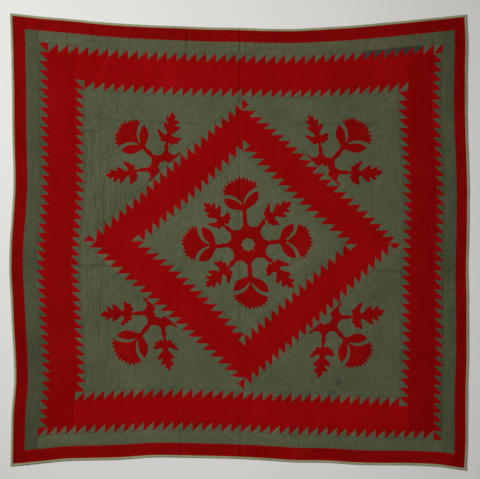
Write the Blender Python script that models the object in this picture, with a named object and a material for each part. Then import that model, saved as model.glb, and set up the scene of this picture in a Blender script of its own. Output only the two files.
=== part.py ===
# Patchwork quilt lying flat: pieced borders, a diamond on point and stitched-on wreaths
import math

import bpy
import numpy as np
from mathutils import Vector
from mathutils.geometry import delaunay_2d_cdt

# Sizes of the cut quilt, in metres
QUILT_WIDTH = 2.120
QUILT_LENGTH = 2.038
BINDING_WIDTH = 0.011
TOOTH_HEIGHT = 0.0427
PLAIN_PITCH = 0.075
FIELD_STEP = 0.085
CLEAR_SHARE = 0.3

# Border widths on each side: narrow red, green, wide red
BORDER_WIDTHS = {
    "left": (0.0540, 0.0603, 0.1206),
    "top": (0.0552, 0.0548, 0.1183),
    "right": (0.0498, 0.0561, 0.1123),
    "bottom": (0.0575, 0.0552, 0.1123),
}

# Teeth between the corner blocks on each side: outer rows, then inner rows
SQUARE_TEETH = {"left": (40, 33), "top": (39, 32), "right": (40, 33), "bottom": (40, 32)}
DIAMOND_TEETH = {"left": (21, 14), "top": (21, 14), "right": (21, 14), "bottom": (21, 14)}

# The diamond: centre and half diagonals of its outer tooth row, and that row's size in teeth
DIAMOND_CENTRE = (0.0100, -0.0010)
DIAMOND_HALF = (0.7000, 0.6620)
DIAMOND_OUTER = 11.0
DIAMOND_INNER = 7.53
DIAMOND_TOOTH = 0.968

# Thicknesses and the gap between neighbouring pieces
SEAM_GAP = 0.00036
MARK_CLEARANCE = 8.0
POINT_MERGE = 1e-9
SEAM_THICK = 0.0024
PANEL_THICK = 0.0031
BINDING_THICK = 0.0034
QUILTED_THICK = 0.0025
APPLIQUE_BASE = 0.0035
APPLIQUE_TOP = 0.0042

# Inner rows of points on the plain bands: depth across the band, and height
BAND_ROWS = (0.2, 0.8)
BAND_HEIGHTS = (PANEL_THICK, PANEL_THICK)
NARROW_ROWS = (0.16, 0.33, 0.5, 0.67, 0.84)
NARROW_HEIGHTS = (PANEL_THICK, QUILTED_THICK, PANEL_THICK, QUILTED_THICK, PANEL_THICK)

# How far each side strays from straight, in millimetres at 17 even steps along it,
# at the outer edge and at the inner tooth row; left and right run downwards
SIDE_WAVES = {
    "left": {
        "edge": (-7, -3, 0, 2.5, 3, 6, 8.5, 1, -8, -10.5, -4, 2, 9.5, 11.5, 1, -2.5, -5),
        "inner": (3, 5.5, 7, 8, 8.5, 9, 8, -0.5, -12.5, -16, -7.5, 0.5, 9.5, 14.5, 2.5, -4, -5),
    },
    "right": {
        "edge": (-6.5, -2, -4, -4, -2.5, 2, 6, 5.5, 3.5, 0.5, 3, 2.5, 3.5, -0.5, -1, -1.5, -7.5),
        "inner": (0, 0.5, -5, -12, -6, 4, 11.5, 11.5, 7.5, 2.5, 1.5, 3.5, 3.5, -3.5, -6.5, -2.5, -4.5),
    },
    "top": {
        "edge": (45.5, 31.5, 20, 6.5, -3, -10, -14.5, -19.5, -21.5, -26, -26.5, -19, -10.5, 1.5, 14, 27, 40),
        "inner": (43.5, 32.5, 23, 10.5, -1, -8, -15, -18, -20, -24, -24, -21.5, -14.5, -3.5, 11.5, 24, 34.5),
    },
    "bottom": {
        "edge": (-18, -6.5, 7, 9.5, 14, 23, 22, 19, 15, 8, -1, -2, -10.5, -13.5, -14, -20, -38),
        "inner": (-13.5, -4.5, 4, 11.5, 18, 22.5, 22, 18.5, 12.5, 6, 1, -2.5, -9.5, -16, -17.5, -22.5, -32),
    },
}
WAVE_DEPTH = 0.310

# Small local pulls: place x, y, reach, shift x, shift y
LOCAL_PULLS = (
    (0.309, -0.277, 0.28, 0.010, -0.011),
    (-0.220, -0.200, 0.17, 0.009, 0.010),
    (-0.330, -0.120, 0.12, 0.007, 0.008),
    (-0.120, -0.300, 0.12, 0.006, 0.007),
    (-0.220, 0.200, 0.15, 0.006, -0.006),
    (0.221, 0.451, 0.16, 0.009, 0.010),
    (-0.345, 0.326, 0.15, -0.005, 0.005),
    (0.020, -0.555, 0.18, 0.016, -0.003),
    (0.490, 0.000, 0.15, 0.016, -0.003),
    (-0.580, 0.000, 0.25, 0.004, 0.009),
    (0.010, 0.435, 0.12, 0.003, 0.012),
)

# The four-armed wreath, in metres from its centre
WREATH_NOTCH = 0.118
SPRAY_NOTCH = 0.100
WREATH_NECK = 0.170
SPRAY_NECK = 0.158
WREATH_LEAF = 0.140
SPRAY_LEAF = 0.120
STAR_TIP = 0.036
STAR_DIP = 0.027
STAR_POINTS = 8
FAN_RADIUS = 0.094
FAN_CENTRE = 0.0366
FAN_TEETH = 12
FAN_TOOTH = 0.0085
FAN_TIP = (0.087, 0.082)
NOTCH_MARGIN = 0.0100
ARC_STEPS = 4
SPRAY_ARM = 0.105
SPRAY_SEAM_GAPS = 4.0
STAR_TURN = 4.0

# Right half of a carnation below its toothed top: sideways, outwards from the neck
CALYX = ((0.0085, -0.023), (0.029, -0.011), (0.055, 0.010), (0.074, 0.030), (0.081, 0.050),
         (0.056, 0.044), (0.031, 0.032), (0.009, 0.010), (0.006, 0.017), (0.019, 0.041),
         (0.042, 0.061))

# Oak leaf, both sides from the stem up: sideways, outwards from the leaf's foot
LEAF_RIGHT = ((0.008, 0.000), (0.024, -0.007), (0.050, 0.006), (0.058, 0.026), (0.016, 0.040),
              (0.046, 0.078), (0.026, 0.088), (0.036, 0.110), (0.012, 0.122))
LEAF_LEFT = ((0.008, 0.000), (0.028, 0.000), (0.038, 0.022), (0.013, 0.036), (0.046, 0.054),
             (0.020, 0.072), (0.034, 0.092), (0.012, 0.104))
LEAF_TIP = 0.150

# Arms of the centre wreath: kind, direction of the foot, direction of the tip, in degrees
WREATH_ARMS = (
    ("flower", 3.5, 3.5),
    ("leaf", 56.0, 45.0),
    ("flower", 99.0, 99.0),
    ("leaf", 142.0, 136.0),
    ("flower", 180.0, 180.0),
    ("leaf", 230.0, 226.5),
    ("flower", 273.5, 273.5),
    ("leaf", 325.0, 316.0),
)
WREATH_CENTRE = (0.0392, -0.0067)

# Corner sprays: side of the diamond, place along it in teeth, direction of the flower,
# then foot and tip directions of the leaf on the flower's right and on its left
SPRAYS = {
    "top_left": ("top", 0.2, 138.0, (85.5, 82.5), (188.0, 189.5)),
    "top_right": ("right", 0.3, 48.0, (-7.0, -4.5), (98.0, 107.0)),
    "bottom_right": ("bottom", 0.3, 313.0, (266.0, 265.5), (358.0, 365.0)),
    "bottom_left": ("left", 0.1, 229.0, (183.0, 181.5), (278.0, 277.5)),
}

# Colours of the cloths
WIDE_RED = (0.170, 0.0025, 0.002)
NARROW_RED = (0.160, 0.003, 0.002)
GREEN = (0.082, 0.090, 0.045)
BINDING_GREEN = (0.160, 0.170, 0.080)
CLOTH_ROUGHNESS = 0.92

SIDES = ("left", "top", "right", "bottom")


def along(values, fraction):
    # smooth curve through evenly spaced values
    table = np.asarray(values, float)
    last = len(table) - 1
    spot = np.clip(fraction, 0.0, 1.0) * last
    start = np.minimum(spot.astype(int), last - 1)
    t = spot - start
    before = table[np.maximum(start - 1, 0)]
    here = table[start]
    there = table[start + 1]
    after = table[np.minimum(start + 2, last)]
    slope = 0.5 * (there - before)
    square = before - 2.5 * here + 2.0 * there - 0.5 * after
    cube = 1.5 * (here - there) + 0.5 * (after - before)
    return here + t * (slope + t * (square + t * cube))


def side_shift(side, fraction, depth):
    # how far one side's waves move a point at this depth from that side
    edge = along(SIDE_WAVES[side]["edge"], fraction)
    inner = along(SIDE_WAVES[side]["inner"], fraction)
    blend = np.clip(depth / WAVE_DEPTH, 0.0, 1.0)
    reach = 0.5 * QUILT_LENGTH - WAVE_DEPTH
    fade = 0.5 + 0.5 * np.cos(math.pi * np.clip((depth - WAVE_DEPTH) / reach, 0.0, 1.0))
    return 0.001 * fade * (edge + (inner - edge) * blend)


def settle(points):
    # from the straight cut layout to the way the quilt lies
    x, y = points[:, 0], points[:, 1]
    from_left = x + 0.5 * QUILT_WIDTH
    from_top = 0.5 * QUILT_LENGTH - y
    across = from_left / QUILT_WIDTH
    down = from_top / QUILT_LENGTH
    dx = side_shift("left", down, from_left) + side_shift("right", down, QUILT_WIDTH - from_left)
    dy = side_shift("top", across, from_top) + side_shift("bottom", across, QUILT_LENGTH - from_top)
    for px, py, reach, pull_x, pull_y in LOCAL_PULLS:
        pull = np.exp(-((x - px) ** 2 + (y - py) ** 2) / reach ** 2)
        dx = dx + pull_x * pull
        dy = dy + pull_y * pull
    return np.column_stack([x + dx, y + dy])


def settled_centre():
    # middle of the settled outline's box
    t = np.linspace(-0.5, 0.5, 401)
    rim = []
    for s in (-0.5, 0.5):
        rim.append(np.column_stack([t * QUILT_WIDTH, np.full_like(t, s * QUILT_LENGTH)]))
        rim.append(np.column_stack([np.full_like(t, s * QUILT_WIDTH), t * QUILT_LENGTH]))
    rim = settle(np.vstack(rim))
    return 0.5 * (rim.min(axis=0) + rim.max(axis=0))


# The nested squares: lines, marks along them and the way to the cut layout
def square_frame():
    half = {"left": -0.5 * QUILT_WIDTH, "right": 0.5 * QUILT_WIDTH,
            "top": 0.5 * QUILT_LENGTH, "bottom": -0.5 * QUILT_LENGTH}
    lines = {}
    for side in SIDES:
        narrow, green, wide = BORDER_WIDTHS[side]
        widths = (0.0, BINDING_WIDTH, narrow, green, TOOTH_HEIGHT, wide, TOOTH_HEIGHT)
        inward = -math.copysign(1.0, half[side])
        lines[side] = [half[side] + inward * sum(widths[:k + 1]) for k in range(len(widths))]
    frame = {"lines": lines, "gap": 0.5 * SEAM_GAP, "place": lambda p: p}
    frame["marks"] = {side: [plain_marks(lines, side, k) for k in range(7)] for side in SIDES}
    for side in SIDES:
        for row, ring in enumerate((3, 5)):
            marks = tooth_marks(lines, side, ring, SQUARE_TEETH[side][row])
            low, high = neighbours(side)
            butts = [lines[low][5], lines[high][5]] if ring == 3 else []
            frame["marks"][side][ring] = marks
            frame["marks"][side][ring + 1] = sorted(marks + butts)
    return frame


def diamond_frame():
    half = 0.5 * DIAMOND_TOOTH
    rows = (DIAMOND_OUTER + half, DIAMOND_OUTER - half, DIAMOND_INNER + half, DIAMOND_INNER - half)
    lines = {side: [(-r if side in ("left", "bottom") else r) for r in rows] for side in SIDES}
    step_x = 0.5 * DIAMOND_HALF[0] / DIAMOND_OUTER
    step_y = 0.5 * DIAMOND_HALF[1] / DIAMOND_OUTER

    def place(p):
        x = DIAMOND_CENTRE[0] + (p[:, 0] - p[:, 1]) * step_x
        y = DIAMOND_CENTRE[1] + (p[:, 0] + p[:, 1]) * step_y
        return np.column_stack([x, y])

    frame = {"lines": lines, "gap": 0.5 * SEAM_GAP / math.hypot(step_x, step_y), "place": place}
    frame["marks"] = {side: [None] * 4 for side in SIDES}
    for side in SIDES:
        for row, ring in enumerate((0, 2)):
            marks = tooth_marks(lines, side, ring, DIAMOND_TEETH[side][row])
            frame["marks"][side][ring] = marks
            frame["marks"][side][ring + 1] = marks
        # the plain band's butt joins
        low, high = neighbours(side)
        frame["marks"][side][1] = sorted(frame["marks"][side][1] + [lines[low][2], lines[high][2]])
    return frame


def neighbours(side):
    # the sides at the low and high end of this one
    return ("bottom", "top") if side in ("left", "right") else ("left", "right")


def plain_marks(lines, side, k):
    # even steps along a line, plus the corners of the next ring
    low, high = neighbours(side)
    last = len(lines[side]) - 1
    inner = min(k + 1, last)
    ends = [lines[low][k], lines[low][inner], lines[high][inner], lines[high][k]]
    count = int((ends[3] - ends[0]) / PLAIN_PITCH)
    steps = [i * PLAIN_PITCH for i in range(-count, count + 1)]
    free = [s for s in steps if min(abs(s - e) for e in ends) > CLEAR_SHARE * PLAIN_PITCH]
    return sorted(ends + free)


def tooth_marks(lines, side, ring, count):
    # block corners and tooth joins along a toothed row
    low, high = neighbours(side)
    start, end = lines[low][ring + 1], lines[high][ring + 1]
    joins = [start + (end - start) * i / count for i in range(count + 1)]
    return [lines[low][ring]] + joins + [lines[high][ring]]


def edge_points(side, at, start, end, marks, gap):
    # points from start to end along one line, ends first, marks between
    low = min(start, end) + MARK_CLEARANCE * gap
    high = max(start, end) - MARK_CLEARANCE * gap
    run = [start] + sorted((m for m in marks if low < m < high), reverse=bool(start > end))
    return [(at, r) if side in ("left", "right") else (r, at) for r in run]


def strip_outline(frame, side, ring, span):
    # the four edges of a border strip, drawn in by half the gap
    lines, marks, gap = frame["lines"], frame["marks"], frame["gap"]
    low, high = neighbours(side)
    inward = 1.0 if side in ("left", "bottom") else -1.0
    outer = lines[side][ring] + inward * gap
    inner = lines[side][ring + 1] - inward * gap
    start, end = span[0] + gap, span[1] - gap
    across = "top" if side in ("left", "right") else "left"
    points = edge_points(side, outer, start, end, marks[side][ring], gap)
    points += edge_points(across, end, outer, inner, end_marks(frame, high, span[1]), gap)
    points += edge_points(side, inner, end, start, marks[side][ring + 1], gap)
    points += edge_points(across, start, inner, outer, end_marks(frame, low, span[0]), gap)
    return points


def end_marks(frame, side, value):
    # marks on the line of that side that a strip's end meets
    distances = [abs(line - value) for line in frame["lines"][side]]
    return frame["marks"][side][distances.index(min(distances))]


def strip_span(frame, side, ring, toothed):
    # toothed rows go round like a pinwheel; plain side strips run the full height
    lines = frame["lines"]
    low, high = neighbours(side)
    if toothed:
        if side in ("left", "top"):
            return lines[low][ring + 1], lines[high][ring]
        return lines[low][ring], lines[high][ring + 1]
    if side in ("left", "right"):
        return lines[low][ring], lines[high][ring]
    return lines[low][ring + 1], lines[high][ring + 1]


def strip_rows(frame, side, ring, span, fractions, heights, every):
    # inner points of a strip: rows at set depths, at every so many marks
    outer, inner = frame["lines"][side][ring], frame["lines"][side][ring + 1]
    margin = CLEAR_SHARE * abs(inner - outer)
    marks = [m for m in frame["marks"][side][ring] if span[0] + margin < m < span[1] - margin]
    rows = []
    for fraction, height in zip(fractions, heights):
        at = outer + (inner - outer) * fraction
        spots = [span[0] + margin] + marks[1:-1:every] + [span[1] - margin]
        rows.append([((at, s) if side in ("left", "right") else (s, at)) + (height,) for s in spots])
    return rows


def tooth_crowns(frame, side, ring, span):
    # a raised point on the tooth half of every unit of a toothed row
    outer, inner = frame["lines"][side][ring], frame["lines"][side][ring + 1]
    forward = 1.0 if side in ("left", "top") else -1.0
    slack = frame["gap"]
    marks = [m for m in frame["marks"][side][ring] if span[0] - slack < m < span[1] + slack]
    crowns = []
    for low, high in zip(marks[:-1], marks[1:]):
        if forward > 0:
            run = low + (high - low) * 2.0 / 3.0
        else:
            run = high - (high - low) * 2.0 / 3.0
        at = inner + (outer - inner) / 3.0
        crowns.append(((at, run) if side in ("left", "right") else (run, at)) + (PANEL_THICK,))
    return crowns


# Solids
def laid(frame, points):
    # frame coordinates to the settled quilt
    flat = np.array([p[:2] for p in points], float)
    return settle(frame["place"](flat)) - CENTRE


def inside(loops, x, y):
    # even-odd test against all the loops
    odd = False
    for loop in loops:
        for (x0, y0), (x1, y1) in zip(loop, loop[1:] + loop[:1]):
            if (y0 > y) != (y1 > y) and x < x0 + (x1 - x0) * (y - y0) / (y1 - y0):
                odd = not odd
    return odd


def triangulate(loops, free, links):
    # triangles of the top face, as point numbers: outlines first, then the free points
    points = [p for loop in loops for p in loop] + list(free)
    edges = []
    start = 0
    for loop in loops:
        count = len(loop)
        edges += [(start + i, start + (i + 1) % count) for i in range(count)]
        start += count
    edges += links
    result = delaunay_2d_cdt([Vector(p) for p in points], edges, [], 0, POINT_MERGE, True)
    where, faces, origin = result[0], result[2], result[3]
    number = [ids[0] if ids else None for ids in origin]
    triangles = []
    for face in faces:
        ids = [number[v] for v in face]
        if None in ids or len(set(ids)) < 3:
            raise ValueError("the outline crosses itself")
        a, b, c = (where[v] for v in face)
        middle = (a + b + c) / 3.0
        if inside(loops, middle.x, middle.y):
            turn = (b - a).cross(c - a)
            triangles.append(ids if turn > 0 else ids[::-1])
    return triangles


def add_solid(name, colour, loops, heights, free, free_heights, links=(), base=0.0, thin=False):
    # a closed body: top face, walls round every outline and a flat underside
    triangles = triangulate(loops, free, list(links))
    rim = [p for loop in loops for p in loop]
    tops = [(p[0], p[1], h) for p, h in zip(rim + list(free), list(heights) + list(free_heights))]
    low_start = len(tops)
    lows = [(p[0], p[1], base) for p in (rim + list(free) if thin else rim)]
    faces = [tuple(t) for t in triangles]
    start = 0
    for loop in loops:
        count = len(loop)
        ring = [start + i for i in range(count)]
        if signed_area(loop) < 0 and start == 0:
            raise ValueError("outline runs the wrong way")
        for i in range(count):
            a, b = ring[i], ring[(i + 1) % count]
            faces.append((a, low_start + a, low_start + b, b))
        start += count
    if thin:
        faces += [tuple(low_start + v for v in t[::-1]) for t in triangles]
    else:
        faces.append(tuple(low_start + i for i in range(len(rim)))[::-1])
    mesh = bpy.data.meshes.new(name)
    mesh.from_pydata(tops + lows, [], faces)
    mesh.materials.append(cloth(name, colour))
    mesh.update()
    piece = bpy.data.objects.new(name, mesh)
    bpy.context.scene.collection.objects.link(piece)
    return piece


def signed_area(loop):
    return 0.5 * sum(x0 * y1 - x1 * y0 for (x0, y0), (x1, y1) in zip(loop, loop[1:] + loop[:1]))


def cloth(name, colour):
    material = bpy.data.materials.new(name)
    material.use_nodes = True
    shader = material.node_tree.nodes["Principled BSDF"]
    shader.inputs["Base Color"].default_value = (*colour, 1.0)
    shader.inputs["Roughness"].default_value = CLOTH_ROUGHNESS
    shader.inputs["Metallic"].default_value = 0.0
    material.diffuse_color = (*colour, 1.0)
    return material


def turned(loop):
    # anticlockwise
    return loop if signed_area(loop) > 0 else loop[::-1]


def pairs(points):
    return [(float(x), float(y)) for x, y in points]


def strip(frame, name, colour, side, ring, toothed=False, fractions=(), heights=(), every=1):
    # one border strip
    span = strip_span(frame, side, ring, toothed)
    rim = turned(pairs(laid(frame, strip_outline(frame, side, ring, span))))
    rows = []
    if toothed:
        free = tooth_crowns(frame, side, ring, span)
    else:
        rows = strip_rows(frame, side, ring, span, fractions, heights, every)
        free = [p for row in rows for p in row]
    links = []
    start = len(rim)
    for row in rows:
        links += [(start + i, start + i + 1) for i in range(len(row) - 1)]
        start += len(row)
    rim_heights = [SEAM_THICK] * len(rim)
    add_solid(name, colour, [rim], rim_heights, pairs(laid(frame, free)), [p[2] for p in free], links)


def field(name, colour, rim):
    # a wide panel: low at its seams and level inside
    rim = turned(rim)
    outline = np.array(rim)
    low, high = outline.min(axis=0), outline.max(axis=0)
    free = []
    for i in range(int((high[0] - low[0]) / FIELD_STEP) + 1):
        for j in range(int((high[1] - low[1]) / FIELD_STEP) + 1):
            x = low[0] + (i + 0.5) * FIELD_STEP
            y = low[1] + (j + 0.5) * FIELD_STEP
            if inside([rim], x, y) and rim_distance(outline, x, y) > CLEAR_SHARE * FIELD_STEP:
                free.append((float(x), float(y)))
    add_solid(name, colour, [rim], [SEAM_THICK] * len(rim), free, [PANEL_THICK] * len(free))


def rim_distance(outline, x, y):
    # shortest way from a point to the outline
    point = np.array([x, y])
    start = outline
    run = np.roll(outline, -1, axis=0) - outline
    t = np.clip(np.sum((point - start) * run, axis=1) / np.sum(run * run, axis=1), 0.0, 1.0)
    return np.hypot(*(start + run * t[:, None] - point).T).min()


# Borders
def binding(frame):
    for side in SIDES:
        strip(frame, "binding_" + side, BINDING_GREEN, side, 0, False, (0.5,), (BINDING_THICK,), 2)


def narrow_borders(frame):
    # three rows of quilting along the strip
    for side in SIDES:
        strip(frame, "narrow_border_" + side, NARROW_RED, side, 1, False, NARROW_ROWS, NARROW_HEIGHTS, 2)


def green_borders(frame):
    for side in SIDES:
        strip(frame, "green_border_" + side, GREEN, side, 2, False, (0.25, 0.75), BAND_HEIGHTS, 2)


def outer_teeth(frame):
    for side in SIDES:
        strip(frame, "outer_teeth_" + side, WIDE_RED, side, 3, True)


def wide_borders(frame):
    for side in SIDES:
        strip(frame, "wide_border_" + side, WIDE_RED, side, 4, False, BAND_ROWS, BAND_HEIGHTS, 3)


def inner_teeth(frame):
    for side in SIDES:
        strip(frame, "inner_teeth_" + side, GREEN, side, 5, True)


# The diamond
def diamond_pieces(frame):
    corners = {"top": "top_left", "right": "top_right", "bottom": "bottom_right", "left": "bottom_left"}
    for side in SIDES:
        strip(frame, "diamond_teeth_" + corners[side], WIDE_RED, side, 0, True)
        band = "diamond_band_" + corners[side]
        strip(frame, band, WIDE_RED, side, 1, False, BAND_ROWS, BAND_HEIGHTS, 3)
        strip(frame, "diamond_inner_teeth_" + corners[side], GREEN, side, 2, True)


def centre_field(frame):
    lines, marks, gap = frame["lines"], frame["marks"], frame["gap"]
    low, high = lines["left"][3] + gap, lines["right"][3] - gap
    rim = edge_points("bottom", low, low, high, marks["bottom"][3], gap)
    rim += edge_points("right", high, low, high, marks["right"][3], gap)
    rim += edge_points("top", high, high, low, marks["top"][3], gap)
    rim += edge_points("left", low, high, low, marks["left"][3], gap)
    field("centre_field", GREEN, pairs(laid(frame, rim)))


def corner_fields(square, diamond):
    # four triangles that meet at the diamond's tips
    step_x = 0.5 * DIAMOND_HALF[0] / DIAMOND_OUTER
    step_y = 0.5 * DIAMOND_HALF[1] / DIAMOND_OUTER
    gap = square["gap"]
    reach = diamond["lines"]["top"][0] + diamond["gap"]
    quarters = {"top_left": ("left", "top", "top"), "top_right": ("right", "top", "right"),
                "bottom_right": ("right", "bottom", "bottom"), "bottom_left": ("left", "bottom", "left")}
    for corner, (side, level, face) in quarters.items():
        sign_x = -1.0 if side == "left" else 1.0
        sign_y = 1.0 if level == "top" else -1.0
        edge_x = square["lines"][side][6] - sign_x * gap
        edge_y = square["lines"][level][6] - sign_y * gap
        seam_x = DIAMOND_CENTRE[0] + sign_x * gap
        seam_y = DIAMOND_CENTRE[1] + sign_y * gap
        rim = edge_points("top", edge_y, seam_x, edge_x, square["marks"][level][6], gap)
        rim += edge_points("left", edge_x, edge_y, seam_y, square["marks"][side][6], gap)
        rim += [(edge_x, seam_y)]
        settled = pairs(laid(square, rim))
        # along the diamond's side, from the seam beside its side tip to the one at its top or foot
        cut_x = reach - gap / step_x
        cut_y = reach - gap / step_y
        marks = [m for m in diamond["marks"][face][0] if abs(m) < reach - CLEAR_SHARE]
        at = reach if face in ("top", "right") else -reach
        if level == "top":
            run = [-cut_y] + marks + [cut_x]
        else:
            run = [cut_y] + marks[::-1] + [-cut_x]
        points = [(r, at) if face in ("top", "bottom") else (at, r) for r in run]
        settled += pairs(laid(diamond, points))
        field("corner_field_" + corner, GREEN, settled)


# Appliqués
def arm_point(centre, angle, sideways, outwards):
    # a point beside an arm; sideways is to the right when looking outwards
    x = centre[0] + outwards * math.cos(angle) + sideways * math.sin(angle)
    y = centre[1] + outwards * math.sin(angle) - sideways * math.cos(angle)
    return (x, y)


def flower_outline(centre, angle, neck):
    # a carnation anticlockwise from the right side of its stem
    right = [(s, neck + o) for s, o in CALYX]
    start = math.atan2(FAN_TIP[1] - FAN_CENTRE, FAN_TIP[0])
    fan = []
    for i in range(2 * FAN_TEETH + 1):
        a = start + (math.pi - 2 * start) * i / (2 * FAN_TEETH)
        radius = FAN_RADIUS + (FAN_TOOTH if i % 2 == 0 else 0.0)
        fan.append((radius * math.cos(a), neck + FAN_CENTRE + radius * math.sin(a)))
    left = [(-s, o) for s, o in right[::-1]]
    return [arm_point(centre, angle, s, o) for s, o in right + fan + left]


def leaf_outline(centre, foot_degrees, tip_degrees, foot):
    # an oak leaf anticlockwise from the right side of its stem
    base = arm_point(centre, math.radians(foot_degrees), 0.0, foot)
    tip = arm_point(centre, math.radians(tip_degrees), 0.0, foot + LEAF_TIP)
    angle = math.atan2(tip[1] - base[1], tip[0] - base[0])
    outline = list(LEAF_RIGHT) + [(0.0, LEAF_TIP)] + [(-s, o) for s, o in LEAF_LEFT[::-1]]
    return [arm_point(base, angle, s, o) for s, o in outline]


def notch(centre, first, second, reach):
    # the rounded hollow between two arms
    half = 0.5 * (second - first)
    middle = first + half
    radius = reach * math.sin(half) - NOTCH_MARGIN
    points = []
    for i in range(ARC_STEPS + 1):
        a = math.pi * i / ARC_STEPS
        points.append(arm_point(centre, middle, radius * math.cos(a), reach - radius * math.sin(a)))
    return points


def star(centre, turn):
    points = []
    for i in range(2 * STAR_POINTS):
        a = turn + math.pi * i / STAR_POINTS
        radius = STAR_TIP if i % 2 == 0 else STAR_DIP
        points.append((centre[0] + radius * math.cos(a), centre[1] + radius * math.sin(a)))
    return points


def wreath_loops():
    outline = []
    for i, (kind, foot, tip) in enumerate(WREATH_ARMS):
        angle = math.radians(foot)
        following = math.radians(WREATH_ARMS[(i + 1) % len(WREATH_ARMS)][1])
        if following < angle:
            following += 2.0 * math.pi
        if kind == "flower":
            outline += flower_outline(WREATH_CENTRE, angle, WREATH_NECK)
        else:
            outline += leaf_outline(WREATH_CENTRE, foot, tip, WREATH_LEAF)
        outline += notch(WREATH_CENTRE, angle, following, WREATH_NOTCH)
    return [outline, star(WREATH_CENTRE, math.radians(STAR_TURN))[::-1]]


def spray_loops(diamond, face, slide, flower, right_leaf, left_leaf):
    # half a wreath whose straight side lies along the diamond's seam
    reach = diamond["lines"]["top"][0] + SPRAY_SEAM_GAPS * diamond["gap"]
    at = reach if face in ("top", "right") else -reach
    local = [(s, at) if face in ("top", "bottom") else (at, s) for s in (slide, slide + 1.0)]
    seam = diamond["place"](np.array(local))
    centre = tuple(seam[0])
    run = seam[1] - seam[0]
    middle = math.radians(flower)
    slope = math.atan2(run[1], run[0])
    if math.cos(slope - middle + 0.5 * math.pi) < 0:
        slope += math.pi
    while slope > middle:
        slope -= 2.0 * math.pi
    while slope < middle - math.pi:
        slope += 2.0 * math.pi
    right_foot, left_foot = math.radians(right_leaf[0]), math.radians(left_leaf[0])
    outline = [arm_point(centre, slope, 0.0, SPRAY_ARM)]
    outline += notch(centre, slope, right_foot, SPRAY_NOTCH)[1:]
    outline += leaf_outline(centre, right_leaf[0], right_leaf[1], SPRAY_LEAF)
    outline += notch(centre, right_foot, middle, SPRAY_NOTCH)
    outline += flower_outline(centre, middle, SPRAY_NECK)
    outline += notch(centre, middle, left_foot, SPRAY_NOTCH)
    outline += leaf_outline(centre, left_leaf[0], left_leaf[1], SPRAY_LEAF)
    outline += notch(centre, left_foot, slope + math.pi, SPRAY_NOTCH)[:-1]
    outline += [arm_point(centre, slope + math.pi, 0.0, SPRAY_ARM)]
    # the half star at the seam
    for i in range(STAR_POINTS + 1):
        angle = slope + math.pi - math.pi * i / STAR_POINTS
        outline.append(arm_point(centre, angle, 0.0, STAR_TIP if i % 2 == 0 else STAR_DIP))
    return [outline]


def applique(name, loops):
    square = {"place": lambda p: p}
    settled = [pairs(laid(square, loop)) for loop in loops]
    count = sum(len(loop) for loop in settled)
    add_solid(name, NARROW_RED, settled, [APPLIQUE_TOP] * count, [], [], (), APPLIQUE_BASE, True)


def appliques(diamond):
    applique("wreath_centre", wreath_loops())
    for corner, row in SPRAYS.items():
        applique("spray_" + corner, spray_loops(diamond, *row))


CENTRE = np.zeros(2)


def main():
    global CENTRE
    for old in list(bpy.data.objects):
        bpy.data.objects.remove(old, do_unlink=True)
    CENTRE = settled_centre()
    square = square_frame()
    diamond = diamond_frame()
    binding(square)
    narrow_borders(square)
    green_borders(square)
    outer_teeth(square)
    wide_borders(square)
    inner_teeth(square)
    corner_fields(square, diamond)
    diamond_pieces(diamond)
    centre_field(diamond)
    appliques(diamond)


main()
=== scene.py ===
import math

import bpy
import numpy as np
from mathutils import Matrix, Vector
from mathutils.geometry import delaunay_2d_cdt


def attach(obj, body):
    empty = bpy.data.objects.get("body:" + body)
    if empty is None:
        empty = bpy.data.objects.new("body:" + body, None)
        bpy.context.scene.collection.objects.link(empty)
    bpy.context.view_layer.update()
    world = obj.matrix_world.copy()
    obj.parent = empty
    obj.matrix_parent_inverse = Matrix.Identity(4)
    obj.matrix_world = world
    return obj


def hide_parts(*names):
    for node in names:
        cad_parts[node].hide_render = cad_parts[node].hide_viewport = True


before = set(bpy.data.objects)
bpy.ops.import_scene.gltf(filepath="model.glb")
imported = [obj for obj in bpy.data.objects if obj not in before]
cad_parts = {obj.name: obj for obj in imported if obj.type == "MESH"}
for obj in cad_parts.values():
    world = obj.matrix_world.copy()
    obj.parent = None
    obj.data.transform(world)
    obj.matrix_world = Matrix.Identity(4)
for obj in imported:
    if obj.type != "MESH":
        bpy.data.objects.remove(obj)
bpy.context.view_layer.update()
print("frame loaded:", len(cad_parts), "nodes")

sides = ("left", "top", "right", "bottom")
cornerOf = {"left": "bottom_left", "top": "top_left", "right": "top_right", "bottom": "bottom_right"}

# The cut quilt in metres: the same sizes as its solids
quilt = {
    "width": 2.120,
    "length": 2.038,
    "binding": 0.011,
    "tooth": 0.0427,
    "borders": {  # narrow red, green, wide red
        "left": (0.0540, 0.0603, 0.1206),
        "top": (0.0552, 0.0548, 0.1183),
        "right": (0.0498, 0.0561, 0.1123),
        "bottom": (0.0575, 0.0552, 0.1123),
    },
    "teeth": {"left": (40, 33), "top": (39, 32), "right": (40, 33), "bottom": (40, 32)},
    "diamondTeeth": (21, 14),
    "diamondCentre": (0.0100, -0.0010),
    "diamondHalf": (0.7000, 0.6620),
    "diamondRows": (11.0, 7.53, 0.968),  # outer row, inner row and tooth, in teeth
}

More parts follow.
